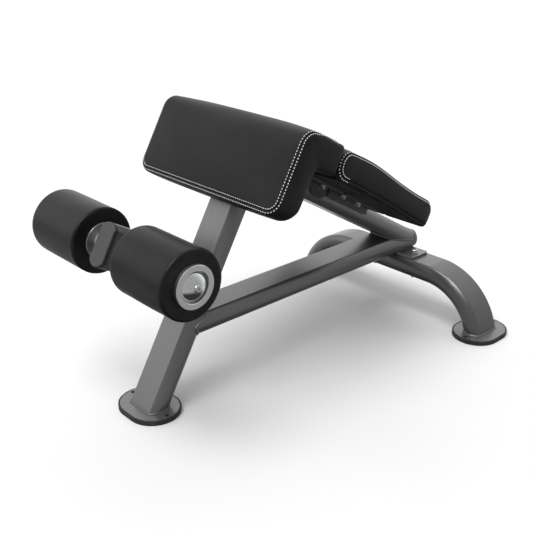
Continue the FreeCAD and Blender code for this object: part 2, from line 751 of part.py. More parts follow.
def pad_fasteners():
    """Bolts up through the brackets into tee nuts sunk in the boards."""
    under = PAD_UNDERSIDE - BRACKET_THICK - M10["washer_thick"]
    grip = M10["washer_thick"] + BRACKET_THICK + BOARD_THICK - BOLT_SHORT_OF_TOP
    upside_down = Rotation(X, 180)
    bolts = []
    washers = []
    tee_nuts = []
    for row in FRONT_PAD_BOLT_R + REAR_PAD_BOLT_R:
        for side in (1, -1):
            place = Vector(row, side * PAD_BOLT_Y, under)
            one = bolt(M10, grip)
            one.Placement = Placement(place, upside_down)
            bolts.append(leaning(one))
            washers.append(leaning(moved(washer(M10), place)))
            top = Vector(row, side * PAD_BOLT_Y, PAD_UNDERSIDE + BOARD_THICK)
            tee_nuts.append(leaning(moved(tee_nut(), top)))
    return Part.Compound(bolts), Part.Compound(washers), Part.Compound(tee_nuts)


def tee_nut():
    """A tee nut: its flange is sunk flush in the board's top and its barrel hangs below."""
    flange = ring(TEE_NUT_FLANGE_RADIUS, M10["shank"], TEE_NUT_FLANGE_THICK)
    barrel = ring(TEE_NUT_BARREL_RADIUS, M10["shank"], TEE_NUT_BARREL_LENGTH)
    flange.translate(Vector(0, 0, -TEE_NUT_FLANGE_THICK))
    barrel.translate(Vector(0, 0, -TEE_NUT_BARREL_LENGTH))
    return join([flange, barrel])


def post_fasteners():
    """Two long bolts through the post into the face board, heads on the post's rear face."""
    size = M10
    length = size["washer_thick"] + TUBE_THICK + BOARD_THICK - BOLT_SHORT_OF_TOP
    backwards = Rotation(Z, X)
    bolts = []
    washers = []
    tee_nuts = []
    for along in POST_BOLT_S:
        place = Vector(HALF_THICK, 0, along)
        ring_piece = washer(size)
        ring_piece.Placement = Placement(place, backwards)
        washers.append(leaning(ring_piece))
        one = bolt(size, length)
        one.Placement = Placement(place + X * size["washer_thick"], backwards)
        bolts.append(leaning(one))
        insert = tee_nut()
        insert.Placement = Placement(
            Vector(-HALF_THICK - BOARD_THICK, 0, along), Rotation(Z, -X))
        tee_nuts.append(leaning(insert))
    return Part.Compound(bolts), Part.Compound(washers), Part.Compound(tee_nuts)


def bore_post(post):
    """Clearance holes for the two bolts through the post."""
    for along in POST_BOLT_S:
        hole = Part.makeCylinder(
            M10["shank"] + HOLE_GAP, 2 * TUBE_THICK, Vector(-TUBE_THICK, 0, along), X)
        post = post.cut(leaning(hole))
    return post


def cut_tee_nut_seats(top_board, face_board, rear_board):
    """Sink the tee nuts into the boards."""
    top_seat = ring_seat()
    for board_rows, index in ((FRONT_PAD_BOLT_R, 0), (REAR_PAD_BOLT_R, 1)):
        for row in board_rows:
            for side in (1, -1):
                place = Vector(row, side * PAD_BOLT_Y, PAD_UNDERSIDE + BOARD_THICK)
                seat = moved(top_seat, place)
                if index == 0:
                    top_board = top_board.cut(seat)
                else:
                    rear_board = rear_board.cut(seat)
    for along in POST_BOLT_S:
        seat = top_seat.copy()
        seat.Placement = Placement(
            Vector(-HALF_THICK - BOARD_THICK, 0, along), Rotation(Z, -X))
        face_board = face_board.cut(seat)
    return top_board, face_board, rear_board


def ring_seat():
    """The hole that a tee nut fills, with the bolt's clearance hole below it."""
    flange = Part.makeCylinder(TEE_NUT_FLANGE_RADIUS, TEE_NUT_FLANGE_THICK,
                               Vector(0, 0, -TEE_NUT_FLANGE_THICK))
    barrel = Part.makeCylinder(TEE_NUT_BARREL_RADIUS, BOARD_THICK, Vector(0, 0, -BOARD_THICK))
    return join([flange, barrel])


# ---------------------------------------------------------------- build

def build():
    os.makedirs("parts", exist_ok=True)
    (_, post_filled), _ = post_and_top_tube()
    post, top_tube, rail = frame_tubes()
    save("front_post", bore_post(post))
    save("top_tube", top_tube)
    save("floor_rail", rail)
    save("floor_rail_end_cap", rail_end_cap())
    save("roller_arm", roller_arm(post_filled))
    save("roller_arm_end_cap", arm_end_cap())

    save("rear_arch_leg", arch_leg())
    save("rear_mount_flange", mount_flange())
    bolts, washers, nuts = flange_fasteners()
    save("flange_bolts", bolts)
    save("flange_washers", washers)
    save("flange_nuts", nuts)

    feet = (
        ("front_foot", Vector(0, 0, 0), 90),
        ("rear_foot_left", Vector(REAR_LEG_X, REAR_FOOT_Y, 0), 0),
        ("rear_foot_right", Vector(REAR_LEG_X, -REAR_FOOT_Y, 0), 0),
    )
    for name, place, turn in feet:
        save(name + "_plate", put_foot(foot_plate(), place, turn))
        save(name + "_pad", put_foot(foot_pad(), place, turn))

    save("axle_boss", axle_boss())
    save("roller_axle", roller_axle())
    save("thrust_washers", thrust_washers())
    for name, maker in (
        ("foam", foam), ("core", roller_core), ("bushes", roller_bushes),
        ("inner_flange", inner_flange), ("outer_flange", outer_flange), ("axle_cap", axle_cap),
    ):
        shape = maker()
        prefix = "" if name == "axle_cap" else "roller_"
        save(prefix + name + "_left", at_axle(shape))
        save(prefix + name + "_right", at_axle(mirror_y(shape)))
    one = axle_bolt()
    save("axle_bolts", at_axle(Part.Compound([one, mirror_y(one)])))

    top_board, face_board, rear_board = cut_tee_nut_seats(*front_pad_boards(), rear_pad_board())
    save("front_pad_top_board", leaning(top_board))
    save("front_pad_face_board", leaning(face_board))
    save("rear_pad_board", leaning(rear_board))
    save("front_pad_cushion", leaning(front_cushion()))
    save("rear_pad_cushion", leaning(rear_cushion()))
    save("front_pad_bracket", leaning(front_bracket()))
    save("rear_pad_bracket", leaning(rear_bracket()))
    pad_bolts, pad_washers, pad_tee_nuts = pad_fasteners()
    post_bolts, post_washers, post_tee_nuts = post_fasteners()
    save("pad_bolts", pad_bolts)
    save("pad_washers", Part.Compound(pad_washers.Solids + post_washers.Solids))
    save("pad_tee_nuts", Part.Compound(pad_tee_nuts.Solids + post_tee_nuts.Solids))
    save("post_bolts", post_bolts)


build()
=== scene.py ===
import json
import math
import random

import bmesh
import bpy
import numpy as np
from mathutils import Matrix, Vector
from mathutils.bvhtree import BVHTree
from mathutils.kdtree import KDTree


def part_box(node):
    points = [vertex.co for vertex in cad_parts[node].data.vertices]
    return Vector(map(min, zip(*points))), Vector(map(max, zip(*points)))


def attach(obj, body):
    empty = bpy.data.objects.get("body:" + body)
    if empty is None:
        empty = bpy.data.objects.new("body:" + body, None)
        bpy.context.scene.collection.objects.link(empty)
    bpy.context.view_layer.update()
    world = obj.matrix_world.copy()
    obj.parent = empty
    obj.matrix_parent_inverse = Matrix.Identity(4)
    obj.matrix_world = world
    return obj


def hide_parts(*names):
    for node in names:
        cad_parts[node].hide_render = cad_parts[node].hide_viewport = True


# Roman chair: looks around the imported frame. Metres, in the row frame: -X is the front (rollers),
# +X the rear (arch leg), +Z up. Pads and tubes are drawn in leaning coordinates (r, y, s): r runs
# back along the top tube and s up along the post, from the middle of the front foot.

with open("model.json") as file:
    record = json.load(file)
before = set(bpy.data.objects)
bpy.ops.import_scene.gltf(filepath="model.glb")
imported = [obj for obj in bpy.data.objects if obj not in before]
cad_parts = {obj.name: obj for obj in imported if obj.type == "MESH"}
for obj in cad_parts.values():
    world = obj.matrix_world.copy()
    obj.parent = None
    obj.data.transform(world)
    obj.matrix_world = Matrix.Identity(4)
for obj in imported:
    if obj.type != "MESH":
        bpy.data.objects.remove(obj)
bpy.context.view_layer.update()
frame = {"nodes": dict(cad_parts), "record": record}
random.seed(7)

# ---------- dimensions from part.py

LEAN = math.radians(30)
FOOT_TOP = 0.012
TUBE_HALF_WIDTH = 0.0508
TUBE_HALF_THICK = 0.0254
TUBE_SIDE_RADIUS = 0.031
TUBE_EDGE_RADIUS = 0.005
TUBE_MIDDLE_S = 0.648 - TUBE_HALF_THICK
AXLE_S = 0.3313
BOSS_RADIUS = 0.021
RAIL_BOTTOM = 0.1702
RAIL_MIDDLE = RAIL_BOTTOM + TUBE_HALF_THICK
ARCH_STRAIGHT_HALF = 0.151
ARCH_BEND_RADIUS = 0.170
ARCH_CENTRE_Z = RAIL_BOTTOM - 0.0064 - TUBE_HALF_THICK - ARCH_BEND_RADIUS

PAD_HALF_WIDTH = 0.249
PAD_TOP = 0.717
PAD_UNDERSIDE = 0.648
PAD_FACE_R = -0.100
PAD_FACE_BOTTOM = 0.514
POST_FRONT_R = -TUBE_HALF_THICK
FRONT_PAD_REAR = 0.040
REAR_PAD_FRONT = 0.042
REAR_PAD_REAR = 0.447

ROLLER_RADIUS = 0.0775
ROLLER_INNER_Y = 0.0715
ROLLER_OUTER_Y = 0.2515
CORE_RADIUS = 0.024
FLANGE_SEAT_RADIUS = 0.0372
FLANGE_SEAT_DEPTH = 0.003

# ---------- soft goods and stitching

EDGE_ROUNDING = 0.011            # of every edge of a pad
PAD_INSET = 0.0005               # a pad starts this much smaller and swells
BACK_INSET = 0.0012              # the backs stop this short of the boards' faces
SWELL_CAP = 0.006                # the furthest that the cloth may move
CLOTH_FRAMES = 20
CLOTH_PRESSURE = 5.0
CLOTH_STRETCH_STIFFNESS = 15
CLOTH_SHEAR_STIFFNESS = 5
CLOTH_BENDING_STIFFNESS = 0.5
VOXEL = 0.005
SEAM_GROOVE_DEPTH = 0.0024
SEAM_GROOVE_WIDTH = 0.0011
SEAM_SHOULDER_DEPTH = 0.0010
SEAM_SHOULDER_WIDTH = 0.0050
SEAM_REFINE = 0.009
SEAM_STEP = 0.0006
STITCH_ROW = 0.0043              # from the seam to each row of stitches
STITCH_PITCH = 0.0070
STITCH_LENGTH = 0.0042
STITCH_RADIUS = 0.00095
STITCH_SIDES = 6

WELD_RADIUS = 0.0030
WELD_RIPPLE = 0.00045
WELD_PITCH = 0.0036
WELD_SIDES = 10
WELD_STEP = 0.0009
TUBE_OUTLINE_STEP = 0.0005
FLANGE_WELD_Y = 0.0375           # beside the rail's rounded lower edge

foot_low, foot_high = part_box("front_foot_plate")
FRONT_FOOT_X = (foot_low.x + foot_high.x) / 2
LEANING = Matrix.Translation((FRONT_FOOT_X, 0, FOOT_TOP)) @ Matrix.Rotation(LEAN, 4, "Y")
axle_low, axle_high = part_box("roller_axle")
AXLE = (axle_low + axle_high) / 2
rear_low, rear_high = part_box("rear_foot_left_plate")
REAR_LEG_X = (rear_low.x + rear_high.x) / 2
flange_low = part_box("rear_mount_flange")[0]
cap_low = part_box("floor_rail_end_cap")[0]


# ---------- material helpers

def new_material(name):
    """A material and its one Principled shader."""
    material = bpy.data.materials.new(name)
    material.use_nodes = True
    return material, material.node_tree.nodes["Principled BSDF"]


def add(owner, kind):
    """A new node of a material or world."""
    return owner.node_tree.nodes.new("ShaderNode" + kind)


def link(material, source, target):
    material.node_tree.links.new(source, target)


def surface_point(material):
    """Object coordinates: metres, and fixed to the piece when it moves."""
    return add(material, "TexCoord").outputs["Object"]


def noise(material, scale, detail=3.0, roughness=0.55, stretch=None):
    """A noise value from 0 to 1, with scale cells to the metre."""
    point = surface_point(material)
    if stretch:
        mapping = add(material, "Mapping")
        mapping.inputs["Scale"].default_value = stretch
        link(material, point, mapping.inputs["Vector"])
        point = mapping.outputs["Vector"]
    texture = add(material, "TexNoise")
    texture.inputs["Scale"].default_value = scale
    texture.inputs["Detail"].default_value = detail
    texture.inputs["Roughness"].default_value = roughness
    link(material, point, texture.inputs["Vector"])
    return texture.outputs["Fac"]


def cells(material, scale, feature="F1"):
    """Distance inside a Voronoi cell, with scale cells to the metre."""
    texture = add(material, "TexVoronoi")
    texture.feature = feature
    texture.inputs["Scale"].default_value = scale
    link(material, surface_point(material), texture.inputs["Vector"])
    return texture.outputs["Distance"]


def ramp(material, value, stops):
    """A colour ramp from (position, colour) stops."""
    node = add(material, "ValToRGB")
    elements = node.color_ramp.elements
    while len(elements) < len(stops):
        elements.new(0.5)
    for element, (position, colour) in zip(elements, stops):
        element.position = position
        element.color = (*colour, 1)
    link(material, value, node.inputs["Fac"])
    return node.outputs["Color"]


def spread(material, value, low, high):
    """A value from 0..1 spread over low..high."""
    node = add(material, "MapRange")
    node.inputs["To Min"].default_value = low
    node.inputs["To Max"].default_value = high
    link(material, value, node.inputs["Value"])
    return node.outputs["Result"]


def combine(material, operation, first, second):
    """Two values, or a value and a number, put through a Math node."""
    node = add(material, "Math")
    node.operation = operation
    for socket, source in zip(node.inputs, (first, second)):
        if isinstance(source, (int, float)):
            socket.default_value = source
        else:
            link(material, source, socket)
    return node.outputs["Value"]


def bump(material, shader, heights):
    """Bumps from (height value, depth in metres, strength), one on top of the other."""
    normal = None
    for height, depth, strength in heights:
        node = add(material, "Bump")
        node.inputs["Distance"].default_value = depth
        node.inputs["Strength"].default_value = strength
        link(material, height, node.inputs["Height"])
        if normal:
            link(material, normal, node.inputs["Normal"])
        normal = node.outputs["Normal"]
    link(material, normal, shader.inputs["Normal"])


def worn_edges(material):
    """From 0 on flat faces to 1 on sharp convex edges."""
    geometry = add(material, "NewGeometry")
    node = add(material, "MapRange")
    node.inputs["From Min"].default_value = 0.52
    node.inputs["From Max"].default_value = 0.62
    link(material, geometry.outputs["Pointiness"], node.inputs["Value"])
    return node.outputs["Result"]


def mix(material, factor, first, second):
    """Two colours mixed by a value; second is a plain colour."""
    node = add(material, "Mix")
    node.data_type = "RGBA"
    link(material, factor, node.inputs["Factor"])
    link(material, first, node.inputs["A"])
    node.inputs["B"].default_value = (*second, 1)
    return node.outputs["Result"]


def grey(value, tint=0.0):
    """A grey, cooler with a positive tint."""
    return (value * (1 - tint), value, value * (1 + tint))


def colour_by(material, shader, value, stops):
    """The base colour from a value, through (position, colour) stops."""
    link(material, ramp(material, value, stops), shader.inputs["Base Color"])


def roughness_by(material, shader, value, low, high):
    """The roughness from a value, spread over low..high."""
    link(material, spread(material, value, low, high), shader.inputs["Roughness"])


def wear_edges(material, shader, base, share, worn):
    """The base colour, turning by a share to the worn colour on sharp edges."""
    coloured = mix(material, combine(material, "MULTIPLY", worn_edges(material), share), base, worn)
    link(material, coloured, shader.inputs["Base Color"])


# ---------- materials

def frame_paint():
    """Satin gunmetal powder coat: metal flake, orange peel, a little wear on the edges."""
    material, shader = new_material("gunmetal_powder_coat")
    flake = noise(material, 1400, detail=2.0, roughness=0.7)
    cloud = noise(material, 9, detail=4.0)
    base = ramp(material, flake, [(0.30, grey(0.095, 0.01)), (0.62, grey(0.150, 0.01)),
                                  (0.78, grey(0.27, 0.01))])
    wear_edges(material, shader, base, 0.25, grey(0.32))
    roughness_by(material, shader, cloud, 0.27, 0.37)
    shader.inputs["Metallic"].default_value = 0.75
    shader.inputs["Coat Weight"].default_value = 0.12
    shader.inputs["Coat Roughness"].default_value = 0.25
    bump(material, shader, [(noise(material, 420, detail=2.0), 0.00008, 0.5),
                            (flake, 0.00003, 0.4)])
    return material


def bracket_paint():
    """Black satin powder coat with a fine orange peel, its colour darkened to near-black as painted
    shade for the shadow under the pads.
    """
    material, shader = new_material("black_powder_coat_painted_shade")
    tone = noise(material, 60, detail=4.0)
    # near-black ramp: the coat's own black, darkened further as painted shade for the shadow
    # between the pads and the tube
    base = ramp(material, tone, [(0.35, grey(0.006)), (0.70, grey(0.012))])
    wear_edges(material, shader, base, 0.3, grey(0.12))
    roughness_by(material, shader, tone, 0.34, 0.48)
    shader.inputs["Specular IOR Level"].default_value = 0.25
    bump(material, shader, [(noise(material, 520, detail=2.0), 0.0001, 0.5)])
    return material


def rubber():
    """Matt black moulded rubber, faintly dusty."""
    material, shader = new_material("black_rubber")
    dust = noise(material, 45, detail=6.0, roughness=0.7)
    colour_by(material, shader, dust, [(0.40, grey(0.014)), (0.75, grey(0.034))])
    roughness_by(material, shader, dust, 0.62, 0.86)
    shader.inputs["Specular IOR Level"].default_value = 0.4
    bump(material, shader, [(noise(material, 1500), 0.0001, 0.6),
                            (dust, 0.0003, 0.2)])
    return material


def black_plastic():
    """Dark grey injection-moulded plastic with a spark-eroded grain."""
    material, shader = new_material("grained_black_plastic")
    tone = noise(material, 70, detail=3.0)
    colour_by(material, shader, tone, [(0.3, grey(0.022)), (0.7, grey(0.034))])
    roughness_by(material, shader, tone, 0.40, 0.52)
    bump(material, shader, [(cells(material, 1700), 0.00009, 0.6)])
    return material


def bush_plastic():
    """Natural nylon, slightly translucent and stained by grease near the axle."""
    material, shader = new_material("natural_nylon")
    stain = noise(material, 110, detail=4.0)
    colour_by(material, shader, stain, [(0.3, (0.62, 0.60, 0.54)), (0.7, (0.80, 0.79, 0.73))])
    roughness_by(material, shader, stain, 0.35, 0.5)
    shader.inputs["Subsurface Weight"].default_value = 0.1
    shader.inputs["Subsurface Radius"].default_value = (0.002, 0.002, 0.0015)
    bump(material, shader, [(noise(material, 900), 0.00005, 0.4)])
    return material


def zinc_steel():
    """Bright zinc-plated steel with a mottled passivation."""
    material, shader = new_material("bright_zinc")
    mottle = noise(material, 160, detail=5.0, roughness=0.65)
    colour_by(material, shader, mottle, [(0.35, (0.56, 0.57, 0.60)), (0.65, (0.74, 0.74, 0.75))])
    roughness_by(material, shader, mottle, 0.20, 0.34)
    shader.inputs["Metallic"].default_value = 1.0
    bump(material, shader, [(noise(material, 1300), 0.00004, 0.5)])
    return material


def turned_lines(material, lines_to_the_metre):
    """Concentric lines about the axle, as a lathe leaves them."""
    shift = add(material, "VectorMath")
    shift.operation = "SUBTRACT"
    shift.inputs[1].default_value = AXLE
    link(material, surface_point(material), shift.inputs[0])
    flat = add(material, "VectorMath")
    flat.operation = "MULTIPLY"
    flat.inputs[1].default_value = (1, 0, 1)
    link(material, shift.outputs["Vector"], flat.inputs[0])
    radius = add(material, "VectorMath")
    radius.operation = "LENGTH"
    link(material, flat.outputs["Vector"], radius.inputs[0])
    lines = add(material, "TexNoise")
    lines.noise_dimensions = "1D"
    lines.inputs["Scale"].default_value = lines_to_the_metre
    lines.inputs["Detail"].default_value = 3.0
    link(material, radius.outputs["Value"], lines.inputs["W"])
    return lines.outputs["Fac"]


def aluminium():
    """Turned satin aluminium."""
    material, shader = new_material("turned_aluminium")
    lines = turned_lines(material, 1600)
    smudge = noise(material, 55, detail=4.0)
    colour_by(material, shader, lines, [(0.3, grey(0.66, 0.01)), (0.7, grey(0.84, 0.01))])
    roughness_by(material, shader, smudge, 0.26, 0.38)
    shader.inputs["Metallic"].default_value = 1.0
    bump(material, shader, [(lines, 0.00008, 0.7)])
    return material


def chrome():
    """Polished chrome with faint smudges."""
    material, shader = new_material("polished_chrome")
    smudge = noise(material, 70, detail=5.0, roughness=0.7)
    colour_by(material, shader, smudge, [(0.3, grey(0.72, 0.01)), (0.7, grey(0.86, 0.01))])
    roughness_by(material, shader, smudge, 0.05, 0.14)
    shader.inputs["Metallic"].default_value = 1.0
    bump(material, shader, [(noise(material, 240), 0.00002, 0.3)])
    return material


def roller_skin():
    """Black foam with a smooth moulded skin: faint closed cells and scuffs."""
    material, shader = new_material("black_foam_skin")
    scuff = noise(material, 26, detail=6.0, roughness=0.65, stretch=(1, 0.35, 1))
    colour_by(material, shader, scuff, [(0.35, grey(0.006)), (0.72, grey(0.011))])
    roughness_by(material, shader, scuff, 0.32, 0.44)
    shader.inputs["Specular IOR Level"].default_value = 0.19
    bump(material, shader, [(cells(material, 1150), 0.00012, 0.35),
                            (noise(material, 90), 0.0004, 0.25)])
    return material


def vinyl():
    """Black upholstery vinyl: fine pebbled leather grain, satin finish, soft wear."""
    material, shader = new_material("black_grained_vinyl")
    grain = cells(material, 900)
    creases = cells(material, 620, "DISTANCE_TO_EDGE")
    wear = noise(material, 14, detail=5.0, roughness=0.6)
    colour_by(material, shader, wear, [(0.35, grey(0.007)), (0.70, grey(0.012))])
    uneven = combine(material, "ADD", wear, combine(material, "MULTIPLY", grain, 0.3))
    roughness_by(material, shader, uneven, 0.34, 0.50)
    shader.inputs["Specular IOR Level"].default_value = 0.17
    pebble = combine(material, "MINIMUM", combine(material, "MULTIPLY", creases, 4.0), 0.5)
    bump(material, shader, [(pebble, 0.00022, 0.45), (grain, 0.00012, 0.35),
                            (noise(material, 70), 0.0006, 0.2)])
    return material


def thread():
    """Light grey bonded polyester thread."""
    material, shader = new_material("grey_bonded_thread")
    strands = noise(material, 2600, detail=2.0)
    colour_by(material, shader, strands, [(0.3, grey(0.62)), (0.7, grey(0.85))])
    roughness_by(material, shader, strands, 0.55, 0.75)
    shader.inputs["Sheen Weight"].default_value = 0.2
    bump(material, shader, [(strands, 0.00015, 0.7)])
    return material


def plywood():
    """Plywood under a black backing cloth, with its plies showing through on the edges; its
    near-black colour is also painted shade for the shadow under the pads.
    """
    material, shader = new_material("backed_plywood_painted_shade")
    turn = add(material, "Mapping")
    turn.inputs["Rotation"].default_value = (0, -LEAN, 0)
    link(material, surface_point(material), turn.inputs["Vector"])
    grain = add(material, "TexWave")
    grain.wave_type = "BANDS"
    grain.bands_direction = "Z"
    grain.inputs["Scale"].default_value = 52
    grain.inputs["Distortion"].default_value = 1.6
    grain.inputs["Detail"].default_value = 3.0
    link(material, turn.outputs["Vector"], grain.inputs["Vector"])
    fibre = noise(material, 30, detail=6.0, roughness=0.7, stretch=(1, 14, 1))
    both = combine(material, "ADD", combine(material, "MULTIPLY", grain.outputs["Fac"], 0.4),
                   combine(material, "MULTIPLY", fibre, 0.6))
    # near-black colours: the black backing cloth, darkened further as painted shade for the shadow
    # under the pads
    dark, light = (0.007, 0.0065, 0.006), (0.016, 0.014, 0.012)
    colour_by(material, shader, both, [(0.3, dark), (0.7, light)])
    roughness_by(material, shader, fibre, 0.8, 0.95)
    shader.inputs["Specular IOR Level"].default_value = 0.2
    bump(material, shader, [(fibre, 0.0004, 0.5), (noise(material, 1200), 0.0002, 0.6)])
    return material


def floor_paint():
    """A pale, almost even studio floor."""
    material, shader = new_material("studio_floor")
    tone = noise(material, 2, detail=2.0)
    colour_by(material, shader, tone, [(0.3, grey(0.70)), (0.7, grey(0.72))])
    shader.inputs["Roughness"].default_value = 0.9
    shader.inputs["Specular IOR Level"].default_value = 0.1
    return material


def paint_nodes(finishes):
    """Give every CAD node the finish of its material slot."""
    slots = {part["node"]: part["material_slot"] for part in frame["record"]["subparts"]}
    for name, node in frame["nodes"].items():
        node.data.materials.clear()
        node.data.materials.append(finishes[slots[name]])


# ---------- mesh helpers

def put_in_scene(name, data):
    """A new object of a mesh, light or camera."""
    thing = bpy.data.objects.new(name, data)
    bpy.context.scene.collection.objects.link(thing)
    return thing


def object_from(name, bm, material):
    """An object made of a bmesh, smooth all over."""
    mesh = bpy.data.meshes.new(name)
    bm.to_mesh(mesh)
    bm.free()
    mesh.shade_smooth()
    mesh.materials.append(material)
    return put_in_scene(name, mesh)


def apply_modifiers(piece):
    """Make the piece's evaluated shape its own mesh."""
    graph = bpy.context.evaluated_depsgraph_get()
    mesh = bpy.data.meshes.new_from_object(piece.evaluated_get(graph))
    old = piece.data
    piece.modifiers.clear()
    piece.data = mesh
    bpy.data.meshes.remove(old)


def points_of(piece):
    """The piece's vertices as an array."""
    count = len(piece.data.vertices)
    points = np.zeros(count * 3, np.float32)
    piece.data.vertices.foreach_get("co", points)
    return points.reshape(count, 3).astype(float)


def set_points(piece, points):
    piece.data.vertices.foreach_set("co", points.astype(np.float32).ravel())
    piece.data.update()


def tree_of(piece):
    """A search tree of the piece's own mesh."""
    mesh = piece.data
    return BVHTree.FromPolygons([v.co for v in mesh.vertices],
                                [tuple(p.vertices) for p in mesh.polygons])


def ring_about(bm, centre, side, up, radius, around):
    """A ring of vertices round a centre, in the plane of side and up."""
    angles = [2 * math.pi * k / around for k in range(around)]
    return [bm.verts.new(centre + (side * math.cos(angle) + up * math.sin(angle)) * radius)
            for angle in angles]


def join_rings(bm, first, second):
    """Faces between two rings of vertices."""
    count = len(first)
    for i in range(count):
        j = (i + 1) % count
        bm.faces.new((first[i], first[j], second[j], second[i]))


def close_ends(bm, rings):
    """A face over the first ring and one over the last."""
    bm.faces.new(list(reversed(rings[0])))
    bm.faces.new(rings[-1])


def neighbours(points, i, closed):
    """The points before and after one of a line, or the point itself past an open end."""
    count = len(points)
    before = points[i - 1] if closed or i else points[i]
    after = points[(i + 1) % count] if closed or i + 1 < count else points[i]
    return before, after


def index_of(points):
    """A search index of a list of points."""
    index = KDTree(len(points))
    for i, point in enumerate(points):
        index.insert(Vector(point), i)
    index.balance()
    return index


def arc(centre, radius, start, end, step=0.002):
    """Points of an arc in a plane, both ends included; angles in degrees."""
    count = max(3, int(abs(math.radians(end - start)) * radius / step) + 2)
    points = []
    for i in range(count):
        angle = math.radians(start + (end - start) * i / (count - 1))
        points.append((centre[0] + radius * math.cos(angle), centre[1] + radius * math.sin(angle)))
    return points


def corner_at(corners, i):
    """A corner's place, and the directions from it to the corners before and after."""
    here = Vector(corners[i][:2])
    before = (Vector(corners[i - 1][:2]) - here).normalized()
    after = (Vector(corners[(i + 1) % len(corners)][:2]) - here).normalized()
    return here, before, after


def rounded_outline(corners):
    """A closed outline from (a, b, radius) corners, square or rounded, all at right angles."""
    points = []
    for i, (a, b, radius) in enumerate(corners):
        here, before, after = corner_at(corners, i)
        if radius <= 0:
            points.append((a, b))
            continue
        centre = here + (before + after) * radius
        start = math.degrees(math.atan2(*reversed(-after)))
        turn = math.degrees(math.atan2(after.cross(before), after.dot(before)))
        points.extend(arc(centre, radius, start, start + turn))
    return points


def ease(value, low, high):
    """From 0 at low to 1 at high, level at both ends."""
    share = min(1.0, max(0.0, (value - low) / (high - low)))
    return share * share * (3 - 2 * share)


def evenly(points, step, closed=True):
    """The same line with points the same distance apart."""
    line = np.array(points, float)
    if closed:
        line = np.vstack([line, line[:1]])
    lengths = np.linalg.norm(np.diff(line, axis=0), axis=1)
    along = np.concatenate([[0], np.cumsum(lengths)])
    count = max(4, int(round(along[-1] / step)))
    targets = np.linspace(0, along[-1], count + (0 if closed else 1), endpoint=not closed)
    return np.stack([np.interp(targets, along, line[:, k]) for k in range(line.shape[1])], axis=1)


# ---------- pads

def body_between(outline, half_width, corner_radius, lowest):
    """A solid of an (r, s) outline, with the two lower corners rounded as seen from the front."""
    span = 2 * corner_radius
    bm = bmesh.new()
    offsets = [half_width]
    if corner_radius:
        offsets = [half_width - corner_radius * (1 - math.cos(math.radians(a)))
                   for a in range(0, 91, 6)]
    sections = [-offset for offset in offsets] + list(reversed(offsets))
    rings = []
    for y in sections:
        past = max(0.0, abs(y) - (half_width - corner_radius))
        lift = corner_radius - math.sqrt(max(0.0, corner_radius ** 2 - past ** 2))
        ring = []
        for r, s in outline:
            share = max(0.0, 1 - (s - lowest) / span) if span else 0.0
            ring.append(bm.verts.new((r, y, s + lift * share)))
        rings.append(ring)
    for first, second in zip(rings, rings[1:]):
        join_rings(bm, first, second)
    close_ends(bm, rings)
    bmesh.ops.recalc_face_normals(bm, faces=bm.faces)
    return bm


def shrunk(corners, by):
    """The corners of the same outline, moved inwards, with smaller rounding radii."""
    moved = []
    for i, (a, b, radius) in enumerate(corners):
        _, before, after = corner_at(corners, i)
        convex = before.cross(after) < 0
        shift = (before + after) * (by if convex else -by)
        moved.append((a + shift.x, b + shift.y, max(0.0, radius - by if convex else radius + by)))
    return moved


def rounded_pad(name, corners, corner_radius, lowest, material):
    """A pad with every edge rounded: a smaller core, with an even thickness put round it."""
    half = PAD_HALF_WIDTH - PAD_INSET
    shell = body_between(rounded_outline(corners), half, corner_radius, lowest)
    pad = object_from(name, shell, material)
    remesh = pad.modifiers.new("even", "REMESH")
    remesh.mode = "VOXEL"
    remesh.voxel_size = VOXEL
    apply_modifiers(pad)
    core_radius = max(0.0, corner_radius - EDGE_ROUNDING)
    core = body_between(rounded_outline(shrunk(corners, EDGE_ROUNDING)), half - EDGE_ROUNDING,
                        core_radius, lowest + EDGE_ROUNDING)
    bmesh.ops.triangulate(core, faces=core.faces)
    tree = BVHTree.FromBMesh(core)
    core.free()
    points = points_of(pad)
    for i, point in enumerate(points):
        nearest = tree.find_nearest(Vector(point))[0]
        out = Vector(point) - nearest
        if out.length > EDGE_ROUNDING * 0.5:
            points[i] = nearest + out.normalized() * EDGE_ROUNDING
    set_points(pad, points)
    smooth = pad.modifiers.new("smooth", "SMOOTH")
    smooth.factor = 0.5
    smooth.iterations = 2
    apply_modifiers(pad)
    pad.data.materials.clear()
    pad.data.materials.append(material)
    pad.data.shade_smooth()
    return pad


